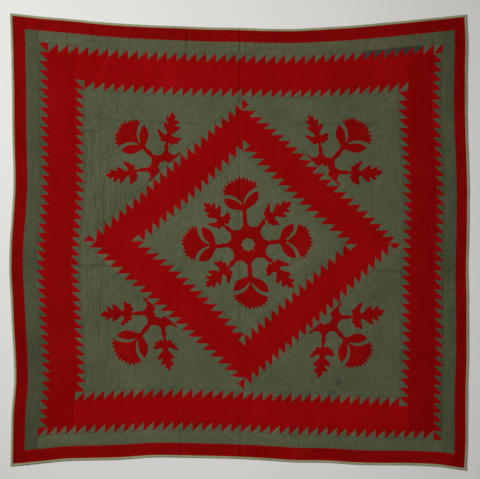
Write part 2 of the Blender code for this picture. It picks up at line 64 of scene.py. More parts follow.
# How far each side strays from straight, mm at 17 even steps; left and right run downwards
waves = {
    "left": ((-7, -3, 0, 2.5, 3, 6, 8.5, 1, -8, -10.5, -4, 2, 9.5, 11.5, 1, -2.5, -5),
             (3, 5.5, 7, 8, 8.5, 9, 8, -0.5, -12.5, -16, -7.5, 0.5, 9.5, 14.5, 2.5, -4, -5)),
    "right": ((-6.5, -2, -4, -4, -2.5, 2, 6, 5.5, 3.5, 0.5, 3, 2.5, 3.5, -0.5, -1, -1.5, -7.5),
              (0, 0.5, -5, -12, -6, 4, 11.5, 11.5, 7.5, 2.5, 1.5, 3.5, 3.5, -3.5, -6.5, -2.5, -4.5)),
    "top": ((45.5, 31.5, 20, 6.5, -3, -10, -14.5, -19.5, -21.5, -26, -26.5, -19, -10.5, 1.5, 14, 27, 40),
            (43.5, 32.5, 23, 10.5, -1, -8, -15, -18, -20, -24, -24, -21.5, -14.5, -3.5, 11.5, 24, 34.5)),
    "bottom": ((-18, -6.5, 7, 9.5, 14, 23, 22, 19, 15, 8, -1, -2, -10.5, -13.5, -14, -20, -38),
               (-13.5, -4.5, 4, 11.5, 18, 22.5, 22, 18.5, 12.5, 6, 1, -2.5, -9.5, -16, -17.5, -22.5, -32)),
}
waveDepth = 0.310
pulls = (  # place x, y, reach, shift x, shift y
    (0.309, -0.277, 0.28, 0.010, -0.011),
    (-0.220, -0.200, 0.17, 0.009, 0.010),
    (-0.330, -0.120, 0.12, 0.007, 0.008),
    (-0.120, -0.300, 0.12, 0.006, 0.007),
    (-0.220, 0.200, 0.15, 0.006, -0.006),
    (0.221, 0.451, 0.16, 0.009, 0.010),
    (-0.345, 0.326, 0.15, -0.005, 0.005),
    (0.020, -0.555, 0.18, 0.016, -0.003),
    (0.490, 0.000, 0.15, 0.016, -0.003),
    (-0.580, 0.000, 0.25, 0.004, 0.009),
    (0.010, 0.435, 0.12, 0.003, 0.012),
)

# Heights and quilting, in metres
relief = {
    "seam": 0.0022,
    "puff": 0.0008,
    "roll": 0.0045,  # how far from a seam the cloth rounds up
    "floorGap": 0.0001,
    "least": 0.0009,  # the thinnest that the cloth lies
    "leastSoft": 0.0004,
    "swell": 0.0008,
    "rimSwell": 0.0010,
    "rimReach": 0.12,
    "quiltRoll": 0.0045,  # how far from a quilting line the cloth rounds up
    "bandPitch": 0.0240,
    "fieldPitch": 0.0175,
    "borderPitch": 0.0120,
    "borderSlant": 0.14,
    "narrowRows": (0.25, 0.5, 0.75),  # as shares of the narrow border's width
    "quilting": {"narrow": 0.0016, "border": 0.0007, "band": 0.0004, "field": 0.0016},
    "fieldRipple": 0.0012,
    "borderPucker": 0.0014,
    "crease": 1.6,
    "echo": 0.0085,  # from a motif's edge to the quilting row round it
    "applique": 0.0006,
    "appliquePuff": 0.0008,
    "appliqueThick": 0.0009,
    "vein": 0.0004,
    "veinHalf": 0.0026,
    "seamEase": 0.008,  # how far from a seam the cloth's own unevenness is full
    "besideSeam": (0.0014, 0.0038),  # rows of points along a seam
}
# Each kind of piece's own small unevenness: height, size, squash, seed
unevenness = {
    "narrow": ((0.0006, 0.015, 0.7, 22),),
    "border": ((0.0004, 0.010, 1.0, 29),),
    "band": ((0.00035, 0.020, 1.0, 25),),
    "teeth": ((0.00040, 0.016, 1.0, 26),),
    "field": ((0.0006, 0.030, 1.0, 34), (0.0003, 0.013, 1.0, 32)),
}

# Fold lines and creases where the quilt lies: from x, y to x, y, half width, rise
creases = (
    (0.002, 1.02, 0.000, 0.60, 0.0060, -0.0010),
    (-0.004, 0.60, 0.004, -0.60, 0.0070, -0.0006),
    (0.004, -0.80, 0.004, -1.05, 0.0060, -0.0011),
    (0.020, 1.00, 0.018, 0.86, 0.0070, 0.0007),
    (-0.240, 0.985, -0.242, 0.905, 0.0055, -0.0010),
    (-0.222, 0.985, -0.224, 0.905, 0.0060, 0.0006),
    (-0.682, 1.010, -0.681, 0.925, 0.0050, -0.0008),
    (-0.296, 0.990, -0.297, 0.962, 0.0045, -0.0009),
    (-0.800, 0.975, -0.796, 0.945, 0.0050, -0.0007),
    (-0.596, 0.955, -0.600, 0.915, 0.0050, -0.0007),
    (-0.512, 0.948, -0.506, 0.912, 0.0050, -0.0007),
    (-0.275, -0.87, -0.272, -1.00, 0.0055, -0.0008),
    (-0.765, -0.112, -0.610, -0.108, 0.0045, -0.0011),
    (0.625, -0.135, 0.760, -0.140, 0.0050, -0.0010),
    (-0.712, 0.514, -0.645, 0.512, 0.0045, -0.0012),
    (-0.680, 0.580, -0.600, 0.566, 0.0050, -0.0007),
    (-0.600, 0.566, -0.180, 0.546, 0.0050, -0.0006),
    (0.240, 0.548, 0.640, 0.545, 0.0055, -0.0008),
    (-0.130, 0.565, -0.055, 0.555, 0.0050, -0.0009),
    (0.600, 0.050, 0.610, 0.300, 0.0080, 0.0005),
    (-0.660, 0.640, -0.655, 0.300, 0.0080, 0.0007),
    (-0.625, 0.300, -0.640, -0.300, 0.0075, -0.0007),
    (-0.600, -0.240, -0.625, -0.620, 0.0080, 0.0007),
)


def curveAt(values, fraction):
    # smooth curve through evenly spaced values
    table = np.asarray(values, float)
    last = len(table) - 1
    spot = np.clip(fraction, 0.0, 1.0) * last
    start = np.minimum(spot.astype(int), last - 1)
    t = spot - start
    before = table[np.maximum(start - 1, 0)]
    here = table[start]
    there = table[start + 1]
    after = table[np.minimum(start + 2, last)]
    slope = 0.5 * (there - before)
    square = before - 2.5 * here + 2.0 * there - 0.5 * after
    cube = 1.5 * (here - there) + 0.5 * (after - before)
    return here + t * (slope + t * (square + t * cube))


def sideShift(side, fraction, depth):
    edge = curveAt(waves[side][0], fraction)
    inner = curveAt(waves[side][1], fraction)
    blend = np.clip(depth / waveDepth, 0.0, 1.0)
    reach = 0.5 * quilt["length"] - waveDepth
    fade = 0.5 + 0.5 * np.cos(math.pi * np.clip((depth - waveDepth) / reach, 0.0, 1.0))
    return 0.001 * fade * (edge + (inner - edge) * blend)


def settle(p):
    # from the straight cut layout to the way the quilt lies
    x, y = p[:, 0], p[:, 1]
    w, l = quilt["width"], quilt["length"]
    fromLeft = x + 0.5 * w
    fromTop = 0.5 * l - y
    dx = sideShift("left", fromTop / l, fromLeft) + sideShift("right", fromTop / l, w - fromLeft)
    dy = sideShift("top", fromLeft / w, fromTop) + sideShift("bottom", fromLeft / w, l - fromTop)
    for px, py, reach, pullX, pullY in pulls:
        pull = np.exp(-((x - px) ** 2 + (y - py) ** 2) / reach ** 2)
        dx = dx + pullX * pull
        dy = dy + pullY * pull
    return np.column_stack([x + dx, y + dy])


def settledMiddle():
    t = np.linspace(-0.5, 0.5, 401)
    rim = []
    for s in (-0.5, 0.5):
        rim.append(np.column_stack([t * quilt["width"], np.full_like(t, s * quilt["length"])]))
        rim.append(np.column_stack([np.full_like(t, s * quilt["width"]), t * quilt["length"]]))
    rim = settle(np.vstack(rim))
    return 0.5 * (rim.min(axis=0) + rim.max(axis=0))


middle = settledMiddle()


def laid(p):
    return settle(np.asarray(p, float)) - middle


def unlaid(p):
    # back from where a point lies to the cut layout
    cut = p + middle
    for _ in range(6):
        cut = cut + (p - laid(cut))
    return cut


# The two sets of nested lines: the square borders, and the diamond in teeth along its own slant
def squareLines():
    half = {"left": -0.5 * quilt["width"], "right": 0.5 * quilt["width"],
            "top": 0.5 * quilt["length"], "bottom": -0.5 * quilt["length"]}
    lines = {}
    for side in sides:
        narrow, green, wide = quilt["borders"][side]
        widths = (0.0, quilt["binding"], narrow, green, quilt["tooth"], wide, quilt["tooth"])
        inward = -math.copysign(1.0, half[side])
        lines[side] = [half[side] + inward * sum(widths[:k + 1]) for k in range(len(widths))]
    return lines


def diamondLines():
    outer, inner, tooth = quilt["diamondRows"]
    rows = (outer + 0.5 * tooth, outer - 0.5 * tooth, inner + 0.5 * tooth, inner - 0.5 * tooth)
    return {side: [(-r if side in ("left", "bottom") else r) for r in rows] for side in sides}


diamondStep = [0.5 * half / quilt["diamondRows"][0] for half in quilt["diamondHalf"]]
squareFrame = {"lines": squareLines(), "unit": 1.0, "place": lambda p: p}
diamondFrame = {
    "lines": diamondLines(),
    "unit": math.hypot(*diamondStep),
    "place": lambda p: np.column_stack([
        quilt["diamondCentre"][0] + (p[:, 0] - p[:, 1]) * diamondStep[0],
        quilt["diamondCentre"][1] + (p[:, 0] + p[:, 1]) * diamondStep[1],
    ]),
}


def neighbours(side):
    return ("bottom", "top") if side in ("left", "right") else ("left", "right")


def atRun(side, at, run):
    return np.column_stack([at, run]) if side in ("left", "right") else np.column_stack([run, at])


# Soft unevenness, from a table of random values that repeats far outside the quilt
noise = {"wide": 97, "tall": 89, "startX": 41.3, "startY": 37.7}


def cloud(x, y, size, seed):
    # smooth noise from -1 to 1
    wide, tall = noise["wide"], noise["tall"]
    table = np.random.default_rng(seed).uniform(-1.0, 1.0, (wide, tall))
    u, v = x / size + noise["startX"], y / size + noise["startY"]
    i, j = np.floor(u).astype(int), np.floor(v).astype(int)
    f, g = u - i, v - j
    f, g = f * f * (3 - 2 * f), g * g * (3 - 2 * g)
    a, b = table[i % wide, j % tall], table[(i + 1) % wide, j % tall]
    c, d = table[i % wide, (j + 1) % tall], table[(i + 1) % wide, (j + 1) % tall]
    return (a * (1 - f) + b * f) * (1 - g) + (c * (1 - f) + d * f) * g


def segmentDistance(x, y, x0, y0, x1, y1):
    rx, ry = x1 - x0, y1 - y0
    t = np.clip(((x - x0) * rx + (y - y0) * ry) / (rx * rx + ry * ry), 0.0, 1.0)
    return np.hypot(x - x0 - rx * t, y - y0 - ry * t)


def outlineDistance(p, outline):
    # shortest way from each point to a closed outline
    best = np.full(len(p), 1e9)
    for (x0, y0), (x1, y1) in zip(outline, np.roll(outline, -1, axis=0)):
        best = np.minimum(best, segmentDistance(p[:, 0], p[:, 1], x0, y0, x1, y1))
    return best


def insideOutline(p, outline):
    odd = np.zeros(len(p), bool)
    for (x0, y0), (x1, y1) in zip(outline, np.roll(outline, -1, axis=0)):
        if y0 == y1:
            continue
        level = (y0 > p[:, 1]) != (y1 > p[:, 1])
        odd ^= level & (p[:, 0] < x0 + (x1 - x0) * (p[:, 1] - y0) / (y1 - y0))
    return odd


def lieOfCloth(cut, final):
    # the slow unevenness and the creases that run on from piece to piece
    x, y = final[:, 0], final[:, 1]
    fromEnds = 0.5 * np.array([quilt["width"], quilt["length"]]) - np.abs(cut)
    z = relief["swell"] * (0.7 * cloud(x, y, 0.17, 1) + 0.4 * cloud(x, y, 0.075, 2))
    z = z + relief["rimSwell"] * np.exp(-fromEnds.min(axis=1) / relief["rimReach"]) * cloud(x, y, 0.11, 3)
    stray = 0.004 * cloud(x, y, 0.06, 4)
    share = relief["crease"] * (0.7 + 0.3 * cloud(x, y, 0.03, 5))
    for x0, y0, x1, y1, half, rise in creases:
        z = z + groove(segmentDistance(x + stray, y + stray, x0, y0, x1, y1), -rise * share, half)
    return z


def groove(distance, depth, half):
    return -depth * np.exp(-(distance / half) ** 2)


def keptUp(z):
    # the face never comes down to its underside
    soft = relief["leastSoft"]
    return relief["least"] + soft * np.log1p(np.exp((z - relief["least"]) / soft))


def quilted(distance, depth):
    # the cloth is drawn down at a quilting line and rounds up beside it
    return -depth * np.exp(-(np.abs(distance) / relief["quiltRoll"]) ** 1.4)


def toLine(value, pitch):
    # distance to the nearest of evenly spaced lines
    return np.abs((value / pitch + 0.5) % 1.0 - 0.5) * pitch


def wander(x, y):
    # the fields' quilting rows wander as they run down
    return 0.013 * cloud(x, y, 0.21, 11) + 0.006 * cloud(x, y, 0.085, 12) + 0.0022 * cloud(x, y, 0.034, 13)


def crossing(u, v):
    # the green border is quilted across its width, a little on the slant
    return u + relief["borderSlant"] * v + 0.005 * cloud(u, 0.0 * u, 0.07, 33)


def slackAt(x, y):
    # how far the cloth stands up between its quilting lines: most at the left, little at the right
    plain = 0.14 + 0.72 * np.clip((-x - 0.48) / 0.14, 0.0, 1.0)
    return np.clip(plain + 0.20 * cloud(x, y, 0.20, 31) + 0.30 * plain * cloud(x, y, 0.045, 35), 0.05, 1.2)


def sewnLine(kind, final, u, v, wide, motifs):
    # distance to the nearest quilting line, and how much that line shows
    x, y = final[:, 0], final[:, 1]
    if kind == "narrow":
        lines = np.min([np.abs(v - share * wide) for share in relief["narrowRows"]], axis=0)
        return lines, 0.7 + 0.5 * cloud(x, y, 0.10, 28)
    if kind == "border":
        shows = 0.45 + 0.6 * cloud(x, y, 0.15, 23) + 0.4 * cloud(x, y, 0.03, 36)
        return toLine(crossing(u, v), relief["borderPitch"]), np.clip(shows, 0.05, 1.1)
    if kind == "band":
        lines = np.minimum(toLine(u, relief["bandPitch"]), toLine(v - 0.5 * wide, relief["bandPitch"]))
        return lines, np.clip(0.4 + 0.8 * cloud(x, y, 0.25, 30), 0.1, 1.0)
    if kind == "field":
        along = x - wander(x, y)
        row = toLine(along, relief["fieldPitch"])
        ring = np.abs(motifs - relief["echo"])
        rowNumber = np.round(along / relief["fieldPitch"])
        broken = 0.6 + 0.7 * cloud(0.31 * rowNumber, y, 0.055, 37)
        shows = slackAt(x, y) * np.clip(broken, 0.1, 1.2)
        return np.where(motifs > relief["echo"], np.minimum(row, ring), ring), shows
    return np.full(len(x), 1.0), np.zeros(len(x))


def clothHeight(kind, cut, final, seam, u, v, wide, motifs=None):
    # height of a piece's face at points given in the cut layout and where they lie
    r = relief
    x, y = final[:, 0], final[:, 1]
    z = r["seam"] + lieOfCloth(cut, final)
    if kind == "binding":
        rise = np.clip(v / 0.0034, 0.0, 1.0)
        fall = np.clip((wide - v) / 0.0045, 0.0, 1.0)
        top = z - 0.0005 + 0.0010 * np.sqrt(1 - (1 - fall) ** 2)
        z = r["floorGap"] + 0.0004 + keptUp(top) * np.sqrt(1 - (1 - rise) ** 2)
        return z + 0.00030 * cloud(u, v, 0.012, 21) * rise
    away = np.clip(seam / r["seamEase"], 0.0, 1.0)
    lines, shows = sewnLine(kind, final, u, v, wide, motifs)
    z = z + r["puff"] * (1.0 - np.exp(-(seam / r["roll"]) ** 1.2))
    z = z + quilted(lines, r["quilting"].get(kind, 0.0) * shows) * (1.0 if kind == "narrow" else away)
    if kind == "border":
        z = z + r["borderPucker"] * away * shows * cloud(u + r["borderSlant"] * v, v * 0.30, 0.011, 24)
    if kind == "field":
        near = np.clip((motifs - r["echo"]) / 0.004, 0.0, 1.0)
        z = z + r["fieldRipple"] * shows * cloud((x - wander(x, y)) * 6.0, y, 0.060, 27) * away * near
    along, across = (x, y) if kind in ("teeth", "field") else (u, v)
    for height, size, squash, seed in unevenness[kind]:
        z = z + height * cloud(along, across * squash, size, seed) * away
    return keptUp(z)


# Stains and worn places: x, y, reach, strength (positive is dark, negative is brown)
stains = (
    (0.460, -0.657, 0.013, 0.55),
    (0.458, -0.640, 0.009, 0.40),
    (0.437, -0.698, 0.010, 0.60),
    (0.005, 0.888, 0.012, -0.50),
    (0.004, 0.872, 0.008, -0.35),
    (-0.712, -0.024, 0.024, -0.35),
)
# Odd patches: one row's blue-grey ones by number, and yellowed ones by x, y and reach
odd = {
    "blueGrey": {"row": "outer_teeth_top", "first": 32, "last": 37},
    "yellowed": ((-0.573, -0.120, 0.020), (-0.598, -0.096, 0.014), (-0.640, -0.070, 0.014),
                 (-0.392, -0.040, 0.016), (-0.310, 0.176, 0.014)),
}
# Rows of quilting, as points on the cloth, gathered while the pieces are made
threads = {"narrowThread": [], "bandThread": [], "borderThread": [], "fieldThread": []}


def stainAt(final):
    dark = np.zeros(len(final))
    brown = np.zeros(len(final))
    for x, y, reach, strength in stains:
        mark = dark if strength > 0 else brown
        mark -= groove(np.hypot(final[:, 0] - x, final[:, 1] - y), abs(strength), reach)
    return dark, brown


# How far each painted shade reaches on the cloth, in metres: along the quilting lines, at the seams and in
# the folds
paintedShadeReach = {"line": 0.0032, "seam": 0.0045, "fold": 0.0040, "foldRise": 0.0010}


def makeMesh(name, cut, faces, z, uv, seam, slotOf, tints, materials, thin=False, line=None):
    # a closed body from its face: walls at the rim and a plain underside
    final = laid(cut)
    count = len(final)
    top = np.column_stack([final, z])
    directed = {(a, b) for f in faces for a, b in zip(f, f[1:] + f[:1])}
    following = {a: b for a, b in directed if (b, a) not in directed}
    loops, seen = [], set()
    for start in sorted(following):
        loop, at = [], start
        while at not in seen:
            seen.add(at)
            loop.append(at)
            at = following[at]
        if loop:
            loops.append(loop)
    source = list(range(count)) if thin else [v for loop in loops for v in loop]
    below = {v: count + k for k, v in enumerate(source)}
    low = z[source] - relief["appliqueThick"] if thin else np.full(len(source), relief["floorGap"])
    lows = np.column_stack([final[source], low])
    walls = [(b, a, below[a], below[b]) for loop in loops for a, b in zip(loop, loop[1:] + loop[:1])]
    under = [tuple(below[v] for v in f[::-1]) for f in (faces if thin else loops)]
    allFaces = [tuple(f) for f in faces] + walls + under
    slots = list(slotOf) + [slotOf[0]] * (len(walls) + len(under))
    tintOf = list(tints) + [0.0] * (len(walls) + len(under))
    mesh = bpy.data.meshes.new(name + "_cloth")
    mesh.from_pydata(np.vstack([top, lows]).tolist(), [], allFaces)
    mesh.update()
    order = np.concatenate([np.arange(count), np.array(source, int)])
    corner = np.zeros(len(mesh.loops), int)
    mesh.loops.foreach_get("vertex_index", corner)
    layer = mesh.uv_layers.new(name="cloth")
    layer.data.foreach_set("uv", np.asarray(uv, np.float32)[order[corner]].ravel())
    dark, brown = stainAt(final[order])
    # painted shade along the quilting lines, deepest where a line shows most
    quiltingShade = np.zeros(count) if line is None else -groove(line[0], line[1], paintedShadeReach["line"])
    # painted shade in the valleys of the folds
    fold = np.zeros(count)
    for x0, y0, x1, y1, half, rise in creases:
        away = segmentDistance(final[:, 0], final[:, 1], x0, y0, x1, y1)
        fold = np.maximum(fold, groove(away, rise / paintedShadeReach["foldRise"], paintedShadeReach["fold"]))
    # real stains, and the painted shade at the seams, along the quilting lines and in the folds
    stainsAndShade = {
        "dark": dark,
        "brown": brown,
        "seam": np.clip(seam[order] / paintedShadeReach["seam"], 0, 1),
        "line": np.clip(quiltingShade[order], 0, 1.2),
        "fold": np.clip(fold[order], 0, 1.2),
    }
    for label, values in stainsAndShade.items():
        mesh.attributes.new(label, "FLOAT", "POINT").data.foreach_set("value", values.astype(np.float32))
    mesh.attributes.new("tint", "FLOAT", "FACE").data.foreach_set("value", np.asarray(tintOf, np.float32))
    for material in materials:
        mesh.materials.append(material)
    mesh.polygons.foreach_set("material_index", np.asarray(slots, np.int32))
    mesh.polygons.foreach_set("use_smooth", np.ones(len(mesh.polygons), bool))
    mesh.set_sharp_from_angle(angle=math.radians(52))
    mesh.update()
    piece = bpy.data.objects.new(name + "_cloth", mesh)
    bpy.context.scene.collection.objects.link(piece)
    return piece


def dress(piece, nodeName):
    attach(piece, "root")
    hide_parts(nodeName)


# Cloths; in each, the last two values are painted shade: along the quilting lines, and along the seams
cloths = {
    "wideRed": {"colour": (0.205, 0.0009, 0.0009), "faded": (0.235, 0.0016, 0.0022), "mottle": 0.06,
                "streak": 0.05, "weave": 0.10, "bump": 0.45, "lineShade": 0.06, "seamShade": 0.08},
    "narrowRed": {"colour": (0.168, 0.0012, 0.0010), "faded": (0.205, 0.0022, 0.0018), "mottle": 0.12,
                  "streak": 0.12, "weave": 0.12, "bump": 0.60, "lineShade": 0.24, "seamShade": 0.16},
    "green": {"colour": (0.064, 0.0745, 0.0405), "faded": (0.083, 0.0875, 0.0485), "mottle": 0.16,
              "streak": 0.13, "weave": 0.14, "bump": 0.70, "lineShade": 0.20, "seamShade": 0.15},
    "warmGreen": {"colour": (0.071, 0.0765, 0.041), "faded": (0.090, 0.088, 0.049), "mottle": 0.16,
                  "streak": 0.13, "weave": 0.14, "bump": 0.70, "lineShade": 0.20, "seamShade": 0.15},
    "bindingGreen": {"colour": (0.215, 0.222, 0.120), "faded": (0.290, 0.275, 0.165), "mottle": 0.16,
                     "streak": 0.10, "weave": 0.14, "bump": 0.45, "lineShade": 0.0, "seamShade": 0.16},
    "blueGrey": {"colour": (0.026, 0.031, 0.026), "faded": (0.036, 0.040, 0.034), "mottle": 0.12,
                 "streak": 0.12, "weave": 0.14, "bump": 0.45, "lineShade": 0.0, "seamShade": 0.16},
    "yellowed": {"colour": (0.092, 0.086, 0.042), "faded": (0.108, 0.098, 0.052), "mottle": 0.12,
                 "streak": 0.10, "weave": 0.14, "bump": 0.45, "lineShade": 0.0, "seamShade": 0.16},
}
# Strips that have faded or darkened more than the rest, as shares; partly painted shade and light: the left
# and right strips darker, the top, bottom and centre ones lighter
stripDyeAndShade = {
    "wide_border_left": -0.08, "wide_border_top": 0.06, "wide_border_right": -0.10,
    "wide_border_bottom": 0.12, "narrow_border_left": -0.05, "narrow_border_bottom": 0.08,
    "green_border_left": -0.20, "green_border_right": -0.12, "green_border_bottom": 0.12,
    "outer_teeth_left": -0.26, "outer_teeth_right": -0.24, "outer_teeth_bottom": 0.06,
    "inner_teeth_left": -0.12, "inner_teeth_right": -0.12, "centre_field": 0.05,
    "corner_field_bottom_right": -0.02, "binding_right": -0.10,
}
# Small differences in dye: from piece to piece, from patch to patch, and the red patches' share
dyeSpread = {"piece": 0.03, "patch": 0.16, "red": 0.45}
# What all the cloths share: noise scales, swings of brightness and depths of relief
cotton = {
    "roughness": 0.92,
    "gloss": 0.02,
    "fade": (5.0, 0.35, 0.68),  # scale, and the noise values between which it fades
    "mottle": 42.0,
    "streak": (9.0, 110.0, 1.0),
    "thread": 620.0,  # about two threads a millimetre
    "pucker": (70.0, 130.0, 1.0),
    "puckerDepth": 0.0022,
    "threadBump": 0.35,
    "threadDepth": 0.00018,
    "gain": 1.6,
    # painted shade in the valleys of the folds
    "foldShade": 0.30,
    "brown": (0.085, 0.062, 0.030),
    "dark": (0.020, 0.036, 0.022),
}


def node(tree, kind, place, **values):
    made = tree.nodes.new(kind)
    made.location = place
    for key, value in values.items():
        if hasattr(made, key):
            setattr(made, key, value)
        else:
            made.inputs[key.replace("_", " ")].default_value = value
    return made


def newMaterial(name, roughness, gloss):
    material = bpy.data.materials.new(name)
    material.use_nodes = True
    shader = material.node_tree.nodes["Principled BSDF"]
    shader.inputs["Roughness"].default_value = roughness
    shader.inputs["Specular IOR Level"].default_value = gloss
    return material, material.node_tree, shader


def clothMaterial(name, cloth):
    material, tree, shader = newMaterial(name, cotton["roughness"], cotton["gloss"])
    link = tree.links.new
    place = node(tree, "ShaderNodeTexCoord", (-1500, 200))

    def noiseOn(source, x, y, scale, detail, roughness):
        made = node(tree, "ShaderNodeTexNoise", (x, y), Scale=scale, Detail=detail, Roughness=roughness)
        link(source, made.inputs["Vector"])
        return made.outputs["Fac"]

    def stretched(scale, y):
        # the cloth's own directions, drawn out along its grain
        made = node(tree, "ShaderNodeMapping", (-1300, y))
        made.inputs["Scale"].default_value = scale
        link(place.outputs["UV"], made.inputs["Vector"])
        return made.outputs["Vector"]

    def attribute(label, x, y):
        return node(tree, "ShaderNodeAttribute", (x, y), attribute_name=label).outputs["Fac"]

    def mixed(amount, x, y, *tones):
        # each tone is a colour or a socket
        made = node(tree, "ShaderNodeMix", (x, y), data_type="RGBA")
        link(amount, made.inputs["Factor"])
        for well, tone in zip([i for i in made.inputs if i.type == "RGBA"], tones):
            if isinstance(tone, tuple):
                well.default_value = (*tone, 1.0)
            else:
                link(tone, well)
        return made.outputs[2]

    # slow fading over the whole quilt
    scale, least, most = cotton["fade"]
    fadeRange = node(tree, "ShaderNodeMapRange", (-1000, 500))
    fadeRange.inputs["From Min"].default_value = least
    fadeRange.inputs["From Max"].default_value = most
    link(noiseOn(place.outputs["Object"], -1200, 500, scale, 4.0, 0.6), fadeRange.inputs["Value"])
    tone = mixed(fadeRange.outputs["Result"], -780, 500, cloth["colour"], cloth["faded"])

    # plain weave
    cross = node(tree, "ShaderNodeMath", (-860, -420), operation="ADD")
    for k, direction in enumerate(("X", "Y")):
        wave = node(tree, "ShaderNodeTexWave", (-1080, -320 - 260 * k), wave_type="BANDS",
                    bands_direction=direction, Scale=cotton["thread"], Distortion=1.2, Detail=1.0,
                    Detail_Scale=0.4)
        link(place.outputs["UV"], wave.inputs["Vector"])
        link(wave.outputs["Fac"], cross.inputs[k])

    # what lightens or darkens the cloth: mottling, streaks, weave, dye with painted shade and light by side,
    # and painted shade at the seams, along the quilting lines and in the folds
    mottle = noiseOn(place.outputs["Object"], -1200, 240, cotton["mottle"], 5.0, 0.65)
    streak = noiseOn(stretched(cotton["streak"], -60), -1080, -60, 1.0, 3.0, 0.6)
    gain = cotton["gain"]
    swings = (
        (mottle, 2 * gain * cloth["mottle"], 1 - gain * cloth["mottle"]),
        (streak, 2 * gain * cloth["streak"], 1 - gain * cloth["streak"]),
        (cross.outputs[0], cloth["weave"], 1 - cloth["weave"]),
        (attribute("tint", -860, 60), 1.0, 1.0),
        # painted shade: darker at the seams, along the quilting lines and in the valleys of the folds
        (attribute("seam", -860, -120), cloth["seamShade"], 1 - cloth["seamShade"]),
        (attribute("line", -860, -240), -cloth["lineShade"], 1.0),
        (attribute("fold", -860, -200), -cotton["foldShade"], 1.0),
    )
    light = None
    for k, (source, factor, base) in enumerate(swings):
        swing = node(tree, "ShaderNodeMath", (-660, 160 - 90 * k), operation="MULTIPLY_ADD")
        link(source, swing.inputs[0])
        swing.inputs[1].default_value = factor
        swing.inputs[2].default_value = base
        if light is None:
            light = swing.outputs[0]
            continue
        product = node(tree, "ShaderNodeMath", (-520 + 50 * k, 160 - 60 * k), operation="MULTIPLY")
        link(light, product.inputs[0])
        link(swing.outputs[0], product.inputs[1])
        light = product.outputs[0]
    lit = node(tree, "ShaderNodeVectorMath", (-140, 400), operation="SCALE")
    link(tone, lit.inputs[0])
    link(light, lit.inputs["Scale"])

    # stains
    tone = lit.outputs[0]
    for k, label in enumerate(("brown", "dark")):
        tone = mixed(attribute(label, -320, -200 - 180 * k), 60 + 180 * k, 300, tone, cotton[label])
    link(tone, shader.inputs["Base Color"])

    # fine puckers and threads
    ripples = noiseOn(stretched(cotton["pucker"], -820), -1080, -820, 1.0, 4.0, 0.55)
    soft = node(tree, "ShaderNodeBump", (-140, -560), Strength=cloth["bump"],
                Distance=cotton["puckerDepth"])
    link(ripples, soft.inputs["Height"])
    fine = node(tree, "ShaderNodeBump", (60, -560), Strength=cotton["threadBump"],
                Distance=cotton["threadDepth"])
    link(cross.outputs[0], fine.inputs["Height"])
    link(soft.outputs["Normal"], fine.inputs["Normal"])
    link(fine.outputs["Normal"], shader.inputs["Normal"])
    shader.location = (460, 200)
    material.diffuse_color = (*cloth["colour"], 1.0)
    return material


materials = {name: clothMaterial(name + "Cotton", cloth) for name, cloth in cloths.items()}
print("cloths ready")


# How rows of stitches are laid out, in metres
sewing = {
    "step": 0.009,  # between the points of a row
    "end": 0.006,  # how far from a strip's seams a row stops
    "lift": 0.0001,  # of the thread above the cloth
    "fieldEnd": 0.004,
    "ringEnd": 0.002,  # how far a field's rows stop from the row round its motif
    "ringStep": 0.007,
    "ringStray": 0.0008,
}


# Plain strips
def stops(length, step, rows):
    # positions across a piece, closer together beside its seams
    inner = [k * step for k in range(1, int(length / step) + 1)]
    inner = [s for s in inner if rows[-1] + 0.3 * step < s < length - rows[-1] - 0.3 * step]
    return np.array([0.0, *rows, *inner, *[length - r for r in rows[::-1]], length])


def span(lines, side, ring, toothed):
    low, high = neighbours(side)
    if toothed:
        if side in ("left", "top"):
            return lines[low][ring + 1], lines[high][ring]
        return lines[low][ring], lines[high][ring + 1]
    if side in ("left", "right"):
        return lines[low][ring], lines[high][ring]
    return lines[low][ring + 1], lines[high][ring + 1]


def facesUp(cut, faces):
    a, b, c = (cut[faces[0][k]] for k in range(3))
    turn = (b[0] - a[0]) * (c[1] - a[1]) - (b[1] - a[1]) * (c[0] - a[0])
    return faces if turn > 0 else [f[::-1] for f in faces]


